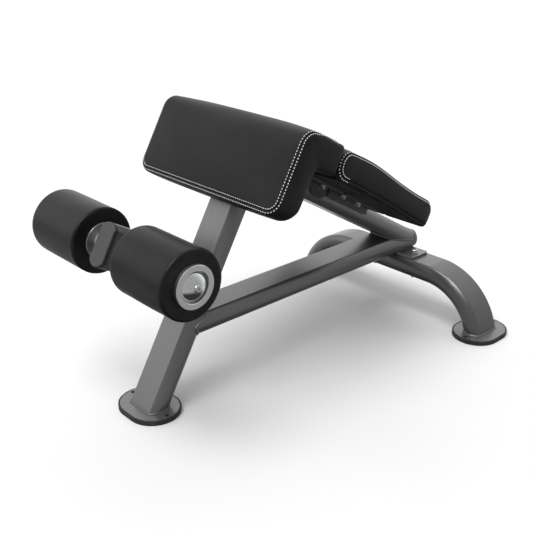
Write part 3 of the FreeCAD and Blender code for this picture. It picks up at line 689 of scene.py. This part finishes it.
def swell(pad, held):
    """Blow the pad up as cloth over foam; held(point) is 1 where the cover is fixed."""
    group = pad.vertex_groups.new(name="held")
    rest = points_of(pad)
    for i, point in enumerate(rest):
        group.add([i], held(point), "REPLACE")
    cloth = pad.modifiers.new("cloth", "CLOTH")
    settings = cloth.settings
    settings.quality = 5
    settings.mass = 0.3
    settings.tension_stiffness = CLOTH_STRETCH_STIFFNESS
    settings.compression_stiffness = CLOTH_STRETCH_STIFFNESS
    settings.shear_stiffness = CLOTH_SHEAR_STIFFNESS
    settings.bending_stiffness = CLOTH_BENDING_STIFFNESS
    settings.use_pressure = True
    settings.uniform_pressure_force = CLOTH_PRESSURE
    settings.effector_weights.gravity = 0
    settings.vertex_group_mass = "held"
    settings.pin_stiffness = 5
    cloth.collision_settings.use_collision = False
    cloth.point_cache.frame_start = 1
    cloth.point_cache.frame_end = CLOTH_FRAMES
    scene = bpy.context.scene
    for step in range(1, CLOTH_FRAMES + 1):
        scene.frame_set(step)
    graph = bpy.context.evaluated_depsgraph_get()
    swollen = pad.evaluated_get(graph).to_mesh()
    moved = np.zeros(len(swollen.vertices) * 3, np.float32)
    swollen.vertices.foreach_get("co", moved)
    moved = moved.reshape(-1, 3).astype(float)
    pad.modifiers.clear()
    scene.frame_set(1)
    shift = moved - rest
    length = np.linalg.norm(shift, axis=1, keepdims=True)
    shift *= np.minimum(1.0, SWELL_CAP / np.maximum(length, 1e-9))
    set_points(pad, rest + shift)


def height_share(s):
    """From 0 at the pads' underside to 1 at their top."""
    return min(1.0, max(0.0, (s - PAD_UNDERSIDE) / (PAD_TOP - PAD_UNDERSIDE)))


def contour(pad, shift):
    """Lift every point by shift(r, y, s)."""
    points = points_of(pad)
    for i, (r, y, s) in enumerate(points):
        points[i][2] = s + shift(r, y, s)
    set_points(pad, points)


def subdivide(pad):
    """Halve every face, smoothly."""
    finer = pad.modifiers.new("finer", "SUBSURF")
    finer.levels = 1
    finer.render_levels = 1
    apply_modifiers(pad)


def refine_near(pad, lines):
    """Halve the faces that lie near the seams; returns a search index of the seams."""
    index = index_of([point for line in lines for point in line])
    bm = bmesh.new()
    bm.from_mesh(pad.data)
    near = [face for face in bm.faces
            if index.find(face.calc_center_median())[2] < SEAM_REFINE]
    edges = list({edge for face in near for edge in face.edges})
    bmesh.ops.subdivide_edges(bm, edges=edges, cuts=1, use_grid_fill=True, smooth=0.0)
    bm.to_mesh(pad.data)
    bm.free()
    return index


def on_surface(tree, guide, closed):
    """The guide's points dropped on the pad, the same distance apart."""
    dropped = [tree.find_nearest(Vector(point))[0] for point in guide]
    return evenly(dropped, SEAM_STEP, closed)


def press_seams(pad, index):
    """Sink a groove with soft shoulders along the seams."""
    points = points_of(pad)
    normals = np.zeros(len(points) * 3, np.float32)
    pad.data.vertex_normals.foreach_get("vector", normals)
    normals = normals.reshape(-1, 3)
    for i, point in enumerate(points):
        distance = index.find(Vector(point))[2]
        if distance > 4 * SEAM_SHOULDER_WIDTH:
            continue
        depth = SEAM_GROOVE_DEPTH * math.exp(-(distance / SEAM_GROOVE_WIDTH) ** 2)
        depth += SEAM_SHOULDER_DEPTH * math.exp(-(distance / SEAM_SHOULDER_WIDTH) ** 2)
        points[i] = point - normals[i] * depth
    set_points(pad, points)
    pad.data.shade_smooth()


def stitch(bm, place, along, normal):
    """One stitch: a short rounded bar that dips into the vinyl at both ends."""
    side = along.cross(normal).normalized()
    rings = []
    for share in (-1.0, -0.8, -0.35, 0.35, 0.8, 1.0):
        radius = STITCH_RADIUS * math.sqrt(max(0.02, 1 - abs(share) ** 3))
        sink = STITCH_RADIUS * 1.1 * share ** 4
        centre = place + along * (share * STITCH_LENGTH / 2) - normal * sink
        rings.append(ring_about(bm, centre, side, normal, radius, STITCH_SIDES))
    for first, second in zip(rings, rings[1:]):
        join_rings(bm, first, second)
    close_ends(bm, rings)


def stitch_rows(name, pad, lines, material):
    """Two rows of stitches beside each seam line; lines are (points, closed)."""
    tree = tree_of(pad)
    bm = bmesh.new()
    for line, closed in lines:
        places = [Vector(point) for point in evenly(line, STITCH_PITCH, closed)]
        for side in (1, -1):
            row = []
            for i, place in enumerate(places):
                before, after = neighbours(places, i, closed)
                along = (after - before).normalized()
                normal = smooth_normal(tree, place)
                row.append((place + along.cross(normal) * (side * STITCH_ROW), along))
            for place, along in row:
                spot, normal = tree.find_nearest(place)[:2]
                along = (along - normal * along.dot(normal)).normalized()
                lean = Matrix.Rotation(math.radians(random.uniform(-3, 3)), 3, normal)
                stitch(bm, spot + normal * STITCH_RADIUS * 0.45, lean @ along, normal)
    bmesh.ops.recalc_face_normals(bm, faces=bm.faces)
    return object_from(name, bm, material)


def smooth_normal(tree, place):
    """The surface's mean direction around a point, past the groove's own walls."""
    total = Vector()
    for _, normal, _, _ in tree.find_nearest_range(place, STITCH_ROW * 1.3):
        total += normal
    return total.normalized()


def finish_pad(pad, stitches, node):
    """Put a pad and its stitches in place on the frame."""
    for piece in (pad, stitches):
        piece.data.transform(LEANING)
        piece.data.shade_smooth()
        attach(piece, "frame")
    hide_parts(node)


# front pad: an L that wraps over the top of the post

FRONT_CORNER_RADIUS = 0.034      # along the top of the front face
FRONT_LOW_CORNER_RADIUS = 0.034  # lower corners, seen from the front
FRONT_TOE_RADIUS = 0.028
FRONT_REAR_RADIUS = 0.010
SEAM_FROM_BOTTOM = 0.0095
SEAM_SIDE_Y = 0.2445
SEAM_TOP_Y = 0.2375
SEAM_LOW_RADIUS = 0.030
SEAM_REAR_GAP = 0.009
SEAM_TURN_RADIUS = 0.018         # at the top's rear corners
SEAM_TAPER = 0.03                # over which the seam moves in from the face to the top
BOARD_HELD_DEPTH = 0.006         # the cover is fixed this near the boards
SEAM_HELD_WIDTH = 0.008          # and this near the seam
FRONT_RISE = 0.0075              # the top is fuller towards its rear edge
FRONT_RISE_FROM = -0.13
FRONT_RISE_TO = 0.0


def front_pad_corners(inset):
    """(r, s, rounding) corners, anticlockwise from the front of the top."""
    return [
        (PAD_FACE_R + inset, PAD_TOP - inset, FRONT_CORNER_RADIUS),
        (PAD_FACE_R + inset, PAD_FACE_BOTTOM + inset, 0.0),
        (POST_FRONT_R - BACK_INSET, PAD_FACE_BOTTOM + inset, FRONT_TOE_RADIUS),
        (POST_FRONT_R - BACK_INSET, PAD_UNDERSIDE + BACK_INSET, 0.0),
        (FRONT_PAD_REAR - inset, PAD_UNDERSIDE + BACK_INSET, FRONT_REAR_RADIUS),
        (FRONT_PAD_REAR - inset, PAD_TOP - inset, FRONT_REAR_RADIUS),
    ]


def front_shift(r, s):
    """How far the contoured cover lies above a flat pad's."""
    return height_share(s) * FRONT_RISE * ease(r, FRONT_RISE_FROM, FRONT_RISE_TO)


def front_seam_guide():
    """The seam round the front panel, from above the top's rear edge and back to it."""
    half = []
    top_rear = FRONT_PAD_REAR - SEAM_REAR_GAP
    turn = SEAM_TURN_RADIUS
    half.append((top_rear, 0.0, PAD_TOP))
    half.append((top_rear, SEAM_TOP_Y - turn, PAD_TOP))
    for a, b in arc((top_rear - turn, SEAM_TOP_Y - turn), turn, 0, 90):
        half.append((a, b, PAD_TOP))
    corner_r = PAD_FACE_R + FRONT_CORNER_RADIUS
    half.append((corner_r + SEAM_TAPER, SEAM_TOP_Y, PAD_TOP))
    for r, s in arc((corner_r, PAD_TOP - FRONT_CORNER_RADIUS), FRONT_CORNER_RADIUS, 90, 180):
        half.append((r, SEAM_SIDE_Y, s))
    low = PAD_FACE_BOTTOM + SEAM_FROM_BOTTOM
    half.append((PAD_FACE_R, SEAM_SIDE_Y, low + SEAM_LOW_RADIUS))
    centre = (SEAM_SIDE_Y - SEAM_LOW_RADIUS, low + SEAM_LOW_RADIUS)
    for b, s in arc(centre, SEAM_LOW_RADIUS, 0, -90):
        half.append((PAD_FACE_R, b, s))
    half.append((PAD_FACE_R, 0.0, low))
    half = [(r, y, s + front_shift(r, s)) for r, y, s in evenly(half, SEAM_STEP, closed=False)]
    other = [(r, -y, s) for r, y, s in reversed(half[1:-1])]
    return half + other


def front_pad(material, thread_material):
    """Shape, swell, seam and stitch the front pad."""
    corners = front_pad_corners(PAD_INSET)
    pad = rounded_pad("front_pad", corners, FRONT_LOW_CORNER_RADIUS,
                      PAD_FACE_BOTTOM + PAD_INSET, material)
    guide = front_seam_guide()
    seam_points = index_of(guide)

    def held(point):
        """Fixed on the boards and at the seams, free in the middle of each panel."""
        r, _, s = point
        on_back = r > POST_FRONT_R - BOARD_HELD_DEPTH and s < PAD_UNDERSIDE + BOARD_HELD_DEPTH
        at_seam = seam_points.find(Vector(point))[2] < SEAM_HELD_WIDTH
        return 1.0 if on_back or at_seam else 0.0

    swell(pad, held)
    contour(pad, lambda r, y, s: front_shift(r, s))
    subdivide(pad)
    seam = on_surface(tree_of(pad), guide, closed=True)
    press_seams(pad, refine_near(pad, [seam]))
    stitches = stitch_rows("front_pad_stitches", pad, [(seam, True)], thread_material)
    finish_pad(pad, stitches, "front_pad_cushion")


# rear pad: slightly contoured, with side panels shaped like a long D

REAR_NOSE_TOP_RADIUS = 0.026
REAR_NOSE_LOW_RADIUS = 0.030
REAR_HEEL_RADIUS = 0.034
REAR_LOW_RADIUS = 0.014
REAR_LOW_SEAM = 0.657            # the side panel's lower border
REAR_CROWN = 0.0075              # the top is fuller behind the nose
REAR_CROWN_R = 0.145
REAR_CROWN_SPAN = 0.095
REAR_FALL = 0.006                # and thinner towards the heel
REAR_FALL_FROM = 0.19
REAR_FALL_TO = 0.38
HANG = 0.008                     # how far the cover hangs below the board at the heel
HANG_FROM_R = 0.20
HANG_TO_R = 0.44
HANG_FROM_Y = 0.113              # clear of the brackets
HANG_TO_Y = 0.127
STITCHED_FROM_R = 0.085          # behind this, no stitches along the lower border
STITCHED_DROP = 0.02             # which starts this far below the pad's middle
REAR_HELD_DEPTH = 0.008          # the cover is fixed this near the board
BORDER_WIDTH = 0.010             # and along the upper side borders
BORDER_DEPTH = 0.009


def rear_pad_corners(inset, low):
    """(r, s, rounding) corners, anticlockwise from the top of the front end."""
    return [
        (REAR_PAD_FRONT + inset, PAD_TOP - inset, REAR_NOSE_TOP_RADIUS),
        (REAR_PAD_FRONT + inset, low, REAR_NOSE_LOW_RADIUS),
        (REAR_PAD_REAR - inset, low, REAR_LOW_RADIUS),
        (REAR_PAD_REAR - inset, PAD_TOP - inset, REAR_HEEL_RADIUS),
    ]


def rear_seam_guides():
    """The border of each side panel."""
    outline = evenly(rounded_outline(rear_pad_corners(0.0, REAR_LOW_SEAM)), SEAM_STEP)
    return [[(r, side * PAD_HALF_WIDTH, s + rear_shift(r, s, 1.0)) for r, s in outline]
            for side in (1, -1)]


def stitched_part(line):
    """The part of a side panel's border that shows stitches: all but the lower edge."""
    middle = (PAD_TOP + PAD_UNDERSIDE) / 2
    keep = [not (s < middle - STITCHED_DROP and r > STITCHED_FROM_R) for r, _, s in line]
    start = next(i for i in range(len(keep)) if keep[i] and not keep[i - 1])
    turned = [(i + start) % len(keep) for i in range(len(keep))]
    return [line[i] for i in turned if keep[i]]


def rear_shift(r, s, share):
    """How far the contoured cover lies above a flat pad's; share is how much of the hang shows."""
    high = height_share(s)
    crown = REAR_CROWN * math.exp(-((r - REAR_CROWN_R) / REAR_CROWN_SPAN) ** 2)
    top = crown - REAR_FALL * ease(r, REAR_FALL_FROM, REAR_FALL_TO)
    return high * top - (1 - high) * share * HANG * ease(r, HANG_FROM_R, HANG_TO_R)


def rear_pad(material, thread_material):
    """Shape, swell, seam and stitch the rear pad."""
    corners = rear_pad_corners(PAD_INSET, PAD_UNDERSIDE + BACK_INSET)
    pad = rounded_pad("rear_pad", corners, 0.0, PAD_UNDERSIDE, material)

    def held(point):
        """Fixed on the board and along both side borders."""
        _, y, s = point
        on_back = s < PAD_UNDERSIDE + REAR_HELD_DEPTH
        at_seam = abs(y) > PAD_HALF_WIDTH - BORDER_WIDTH and s > PAD_TOP - BORDER_DEPTH
        return 1.0 if on_back or at_seam else 0.0

    swell(pad, held)
    contour(pad, lambda r, y, s: rear_shift(r, s, ease(abs(y), HANG_FROM_Y, HANG_TO_Y)))
    subdivide(pad)
    tree = tree_of(pad)
    seams = [on_surface(tree, guide, closed=True) for guide in rear_seam_guides()]
    press_seams(pad, refine_near(pad, seams))
    lines = [(stitched_part(seam), False) for seam in seams]
    stitches = stitch_rows("rear_pad_stitches", pad, lines, thread_material)
    finish_pad(pad, stitches, "rear_pad_cushion")


# ---------- foam rollers

ROLLER_SHRINK = 0.0004           # the foam stays inside its CAD solid
ROLLER_END_ROUNDING = 0.0060
ROLLER_SEGMENTS = 160
ROLLER_END_GAP = 0.0003
CORE_GAP = 0.0002
UNEVENNESS = 0.00018             # of the foam's surface
UNEVEN_DEPTH = 0.020             # only this near the outside
FLANGE_RIM_RADIUS = 0.0009


def turn_about_axle(bm, rings_at):
    """Faces between rings of (radius, y) points; rings_at(angle) gives a ring's outline."""
    rings = []
    for k in range(ROLLER_SEGMENTS):
        angle = 2 * math.pi * k / ROLLER_SEGMENTS
        rings.append([bm.verts.new((AXLE.x + radius * math.cos(angle), y,
                                    AXLE.z + radius * math.sin(angle)))
                      for radius, y in rings_at(angle)])
    for k in range(ROLLER_SEGMENTS):
        join_rings(bm, rings[k], rings[(k + 1) % ROLLER_SEGMENTS])
    bmesh.ops.recalc_face_normals(bm, faces=bm.faces)


def roller_profile():
    """(radius, distance from the inner end) outline of the foam, from the core outwards."""
    length = ROLLER_OUTER_Y - ROLLER_INNER_Y
    radius = ROLLER_RADIUS - ROLLER_SHRINK
    bend = ROLLER_END_ROUNDING
    low = ROLLER_END_GAP
    high = length - ROLLER_END_GAP
    profile = [(CORE_RADIUS + CORE_GAP, low + 0.0004), (CORE_RADIUS + 0.006, low)]
    profile += [(radius - bend - 0.012, low), (radius - bend - 0.003, low + 0.0001)]
    profile += arc((radius - bend, low + bend), bend, -90, 0)
    for i in range(1, 24):
        profile.append((radius, low + bend + (high - low - 2 * bend) * i / 24))
    profile += arc((radius - bend, high - bend), bend, 0, 90)
    profile += [(radius - bend - 0.003, high - 0.0001), (radius - bend - 0.010, high - 0.0004)]
    profile += [(FLANGE_SEAT_RADIUS + 0.010, high - 0.0006)]
    profile += [(FLANGE_SEAT_RADIUS + 0.001, high - 0.0006)]
    profile += [(FLANGE_SEAT_RADIUS, high - 0.0016), (FLANGE_SEAT_RADIUS, high - FLANGE_SEAT_DEPTH)]
    profile += [(CORE_RADIUS + CORE_GAP, high - FLANGE_SEAT_DEPTH)]
    return profile


def roller(name, side, body, node, material):
    """A turned foam sleeve, with the slight unevenness of moulded foam."""
    profile = roller_profile()

    def ring(angle):
        outline = []
        for radius, along in profile:
            uneven = 0.0
            if radius > ROLLER_RADIUS - UNEVEN_DEPTH:
                uneven = UNEVENNESS * (math.sin(3 * angle + 31 * along) +
                                       math.sin(5 * angle - 47 * along + side))
            reach = radius + min(uneven, ROLLER_SHRINK * 0.8)
            outline.append((reach, side * (ROLLER_INNER_Y + along)))
        return outline

    bm = bmesh.new()
    turn_about_axle(bm, ring)
    piece = object_from(name, bm, material)
    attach(piece, body)
    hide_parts(node)


def flange_rim(name, side, body, material):
    """The bright rolled edge of a roller's inner flange."""
    disc_low, disc_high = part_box(name.replace("flange_rim", "roller_inner_flange"))
    major = (disc_high.z - disc_low.z) / 2 - FLANGE_RIM_RADIUS
    middle = disc_low.y if side > 0 else disc_high.y
    outline = [(a, middle + b) for a, b in
               arc((major, 0), FLANGE_RIM_RADIUS, 0, 315, FLANGE_RIM_RADIUS * 0.7)]
    bm = bmesh.new()
    turn_about_axle(bm, lambda angle: outline)
    piece = object_from(name, bm, material)
    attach(piece, body)


# ---------- welds

def oval_outline():
    """Evenly spaced (thin, wide) points round the flat-oval tube."""
    side_centre = TUBE_HALF_WIDTH - TUBE_SIDE_RADIUS
    reach = TUBE_SIDE_RADIUS - TUBE_EDGE_RADIUS
    rise = TUBE_HALF_THICK - TUBE_EDGE_RADIUS
    edge_centre = side_centre + math.sqrt(reach ** 2 - rise ** 2)
    lean = math.degrees(math.atan2(rise, edge_centre - side_centre))
    quarter = arc((side_centre, 0), TUBE_SIDE_RADIUS, 0, lean, TUBE_OUTLINE_STEP)
    quarter += arc((edge_centre, rise), TUBE_EDGE_RADIUS, lean, 90, TUBE_OUTLINE_STEP)
    upper = quarter + [(-wide, thin) for wide, thin in reversed(quarter)]
    lower = [(wide, -thin) for wide, thin in reversed(upper)]
    return [(thin, wide) for wide, thin in evenly(upper + lower[1:-1], WELD_STEP)]


def half_thickness(wide):
    """Half the tube's thickness at a distance from its middle."""
    side_centre = TUBE_HALF_WIDTH - TUBE_SIDE_RADIUS
    past = max(0.0, abs(wide) - side_centre)
    return min(TUBE_HALF_THICK, math.sqrt(max(0.0, TUBE_SIDE_RADIUS ** 2 - past ** 2)))


def weld_lines():
    """Every visible weld, as (name, points, closed) in the row frame."""
    outline = oval_outline()
    sin, cos = math.sin(LEAN), math.cos(LEAN)
    lines = []
    base = [LEANING @ Vector((thin, wide, thin * math.tan(LEAN))) for thin, wide in outline]
    lines.append(("weld_post_base", base, True))
    for side, name in ((1, "left"), (-1, "right")):
        points = []
        for thin, wide in outline:
            radius = ARCH_BEND_RADIUS + thin
            reach = ARCH_STRAIGHT_HALF + math.sqrt(radius ** 2 - (FOOT_TOP - ARCH_CENTRE_Z) ** 2)
            points.append(Vector((REAR_LEG_X + wide, side * reach, FOOT_TOP)))
        lines.append(("weld_rear_foot_" + name, points, True))
    arm = [LEANING @ Vector((-half_thickness(thin), thin, AXLE_S + wide)) for thin, wide in outline]
    lines.append(("weld_arm", arm, True))
    rail = []
    for thin, wide in outline:
        r = half_thickness(wide)
        s = (RAIL_MIDDLE + thin - FOOT_TOP + r * sin) / cos
        rail.append(LEANING @ Vector((r, wide, s)))
    lines.append(("weld_rail_to_post", rail, True))
    tube = []
    for thin, wide in outline:
        s = TUBE_MIDDLE_S + thin
        r = (FOOT_TOP + s * cos - RAIL_MIDDLE - half_thickness(wide)) / sin
        tube.append(LEANING @ Vector((r, wide, s)))
    lines.append(("weld_tube_to_rail", tube, True))
    mitre = [LEANING @ Vector((thin, wide, TUBE_MIDDLE_S - thin)) for thin, wide in outline]
    lines.append(("weld_mitre", mitre, True))
    for side, name in ((1, "left"), (-1, "right")):
        ring = [Vector((AXLE.x + a, side * TUBE_HALF_THICK, AXLE.z + b))
                for a, b in arc((0, 0), BOSS_RADIUS, 0, 360, WELD_STEP)[:-1]]
        lines.append(("weld_boss_" + name, ring, True))
        run = [Vector((x, side * FLANGE_WELD_Y, RAIL_BOTTOM))
               for x in np.arange(flange_low.x + 0.002, cap_low.x, WELD_STEP)]
        lines.append(("weld_flange_" + name, run, False))
    return lines


def weld(name, points, closed, material):
    """A rippled bead of weld along a line."""
    bm = bmesh.new()
    rings = []
    travelled = 0.0
    for i, point in enumerate(points):
        before, after = neighbours(points, i, closed)
        along = (after - before).normalized()
        side = along.orthogonal().normalized()
        if rings:
            side = (last_side - along * last_side.dot(along)).normalized()
        last_side = side
        up = along.cross(side)
        phase = (travelled / WELD_PITCH) % 1.0
        radius = WELD_RADIUS + WELD_RIPPLE * (1 - (2 * phase - 1) ** 2) - WELD_RIPPLE / 2
        rings.append(ring_about(bm, point, side, up, radius, WELD_SIDES))
        travelled += (after - point).length
    if closed:
        bridge(bm, rings[-1], rings[0])
    else:
        close_ends(bm, rings)
    for first, second in zip(rings, rings[1:]):
        join_rings(bm, first, second)
    bmesh.ops.recalc_face_normals(bm, faces=bm.faces)
    piece = object_from(name, bm, material)
    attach(piece, "frame")


def bridge(bm, last, first):
    """Close a bead, turning the first ring to the one that lies best on the last."""
    count = len(last)
    turn = min(range(count), key=lambda t: sum(
        (last[k].co - first[(k + t) % count].co).length for k in range(count)))
    for k in range(count):
        j = (k + 1) % count
        bm.faces.new((last[k], last[j], first[(j + turn) % count], first[(k + turn) % count]))


# ---------- studio

ROOM_DIM = 0.40
ROOM_BRIGHT = 1.2
FLOOR_REFLECTION = 0.10          # share of the room's light seen in the shadow underneath
BACKDROP_DIRECTION = (0.62, 0.72, 0.35)
SKY_DIRECTION = (-0.48, -0.08, 1.0)
SKY_ANGLE = 42
SKY_STRENGTH = 2.6
FILL_PLACE = (-3.0, 2.6, 1.9)
FILL_SIZE = (3.6, 2.8)
FILL_POWER = 26
FLOOR_HALF_SIZE = 40
ROOM_FADE = (-0.2, 0.95)         # from the dim side to the bright one
UNDER_FADE = (-0.75, -0.45)      # from steeply downwards to shallow

CAMERA_LENS = 56.4
CAMERA_SENSOR = 36
CAMERA_PLACE = (-1.3758, -1.44021, 1.11384)
CAMERA_TILT = 66.36
CAMERA_TURN = -42.63


def area_light(name, place, target, size, power):
    """A soft rectangular light, turned to a target."""
    data = bpy.data.lights.new(name, "AREA")
    data.shape = "RECTANGLE"
    data.size, data.size_y = size
    data.energy = power
    light = put_in_scene(name, data)
    light.location = place
    light.rotation_euler = (Vector(target) - Vector(place)).to_track_quat("-Z", "Y").to_euler()


def sun_light(name, direction, angle, strength):
    """A very large soft light at infinity; direction points from the object to it."""
    data = bpy.data.lights.new(name, "SUN")
    data.angle = math.radians(angle)
    data.energy = strength
    light = put_in_scene(name, data)
    light.rotation_euler = Vector(direction).to_track_quat("Z", "Y").to_euler()


def smooth_range(world, before, after):
    """A node that maps one (low, high) range to another, level at both ends."""
    node = add(world, "MapRange")
    node.interpolation_type = "SMOOTHSTEP"
    node.inputs["From Min"].default_value, node.inputs["From Max"].default_value = before
    node.inputs["To Min"].default_value, node.inputs["To Max"].default_value = after
    return node


def white_room():
    """A room that is bright on the backdrop's side, dim on the other and dark under the floor."""
    world = bpy.data.worlds.new("white_room")
    world.use_nodes = True
    background = world.node_tree.nodes["Background"]
    background.inputs["Color"].default_value = (1, 1, 1, 1)
    direction = add(world, "TexCoord")
    towards = add(world, "VectorMath")
    towards.operation = "DOT_PRODUCT"
    towards.inputs[1].default_value = Vector(BACKDROP_DIRECTION).normalized()
    strength = smooth_range(world, ROOM_FADE, (ROOM_DIM, ROOM_BRIGHT))
    height = add(world, "SeparateXYZ")
    above = smooth_range(world, UNDER_FADE, (FLOOR_REFLECTION, 1.0))
    product = add(world, "Math")
    product.operation = "MULTIPLY"
    links = world.node_tree.links
    links.new(direction.outputs["Generated"], towards.inputs[0])
    links.new(towards.outputs["Value"], strength.inputs["Value"])
    links.new(direction.outputs["Generated"], height.inputs["Vector"])
    links.new(height.outputs["Z"], above.inputs["Value"])
    links.new(strength.outputs["Result"], product.inputs[0])
    links.new(above.outputs["Result"], product.inputs[1])
    links.new(product.outputs["Value"], background.inputs["Strength"])
    bpy.context.scene.world = world


def studio(floor_material):
    """A pale floor, a grey room, a wide soft sky light and a soft fill from the front left."""
    bm = bmesh.new()
    bmesh.ops.create_grid(bm, x_segments=8, y_segments=8, size=FLOOR_HALF_SIZE)
    floor = object_from("floor", bm, floor_material)
    floor.visible_glossy = False
    white_room()
    sun_light("overhead", SKY_DIRECTION, SKY_ANGLE, SKY_STRENGTH)
    area_light("front_left", FILL_PLACE, (0, 0, 0.3), FILL_SIZE, FILL_POWER)
    bpy.context.scene.view_settings.view_transform = "Standard"


def camera():
    """The view from above, in front and to the right."""
    data = bpy.data.cameras.new("camera")
    data.lens = CAMERA_LENS
    data.sensor_width = CAMERA_SENSOR
    view = put_in_scene("camera", data)
    view.location = CAMERA_PLACE
    view.rotation_euler = (math.radians(CAMERA_TILT), 0, math.radians(CAMERA_TURN))
    bpy.context.scene.camera = view


# ---------- build

makers = [frame_paint, bracket_paint, rubber, black_plastic, bush_plastic, zinc_steel,
          aluminium, chrome, roller_skin, vinyl, plywood]
finishes = {make.__name__: make() for make in makers}      # by material slot
paint_nodes(finishes)
thread_finish = thread()
front_pad(finishes["vinyl"], thread_finish)
rear_pad(finishes["vinyl"], thread_finish)
roller("foam_roller_left", 1, "left_roller", "roller_foam_left", finishes["roller_skin"])
roller("foam_roller_right", -1, "right_roller", "roller_foam_right", finishes["roller_skin"])
flange_rim("flange_rim_left", 1, "left_roller", finishes["zinc_steel"])
flange_rim("flange_rim_right", -1, "right_roller", finishes["zinc_steel"])
for bead, points, closed in weld_lines():
    weld(bead, points, closed, finishes["frame_paint"])
studio(floor_paint())
camera()
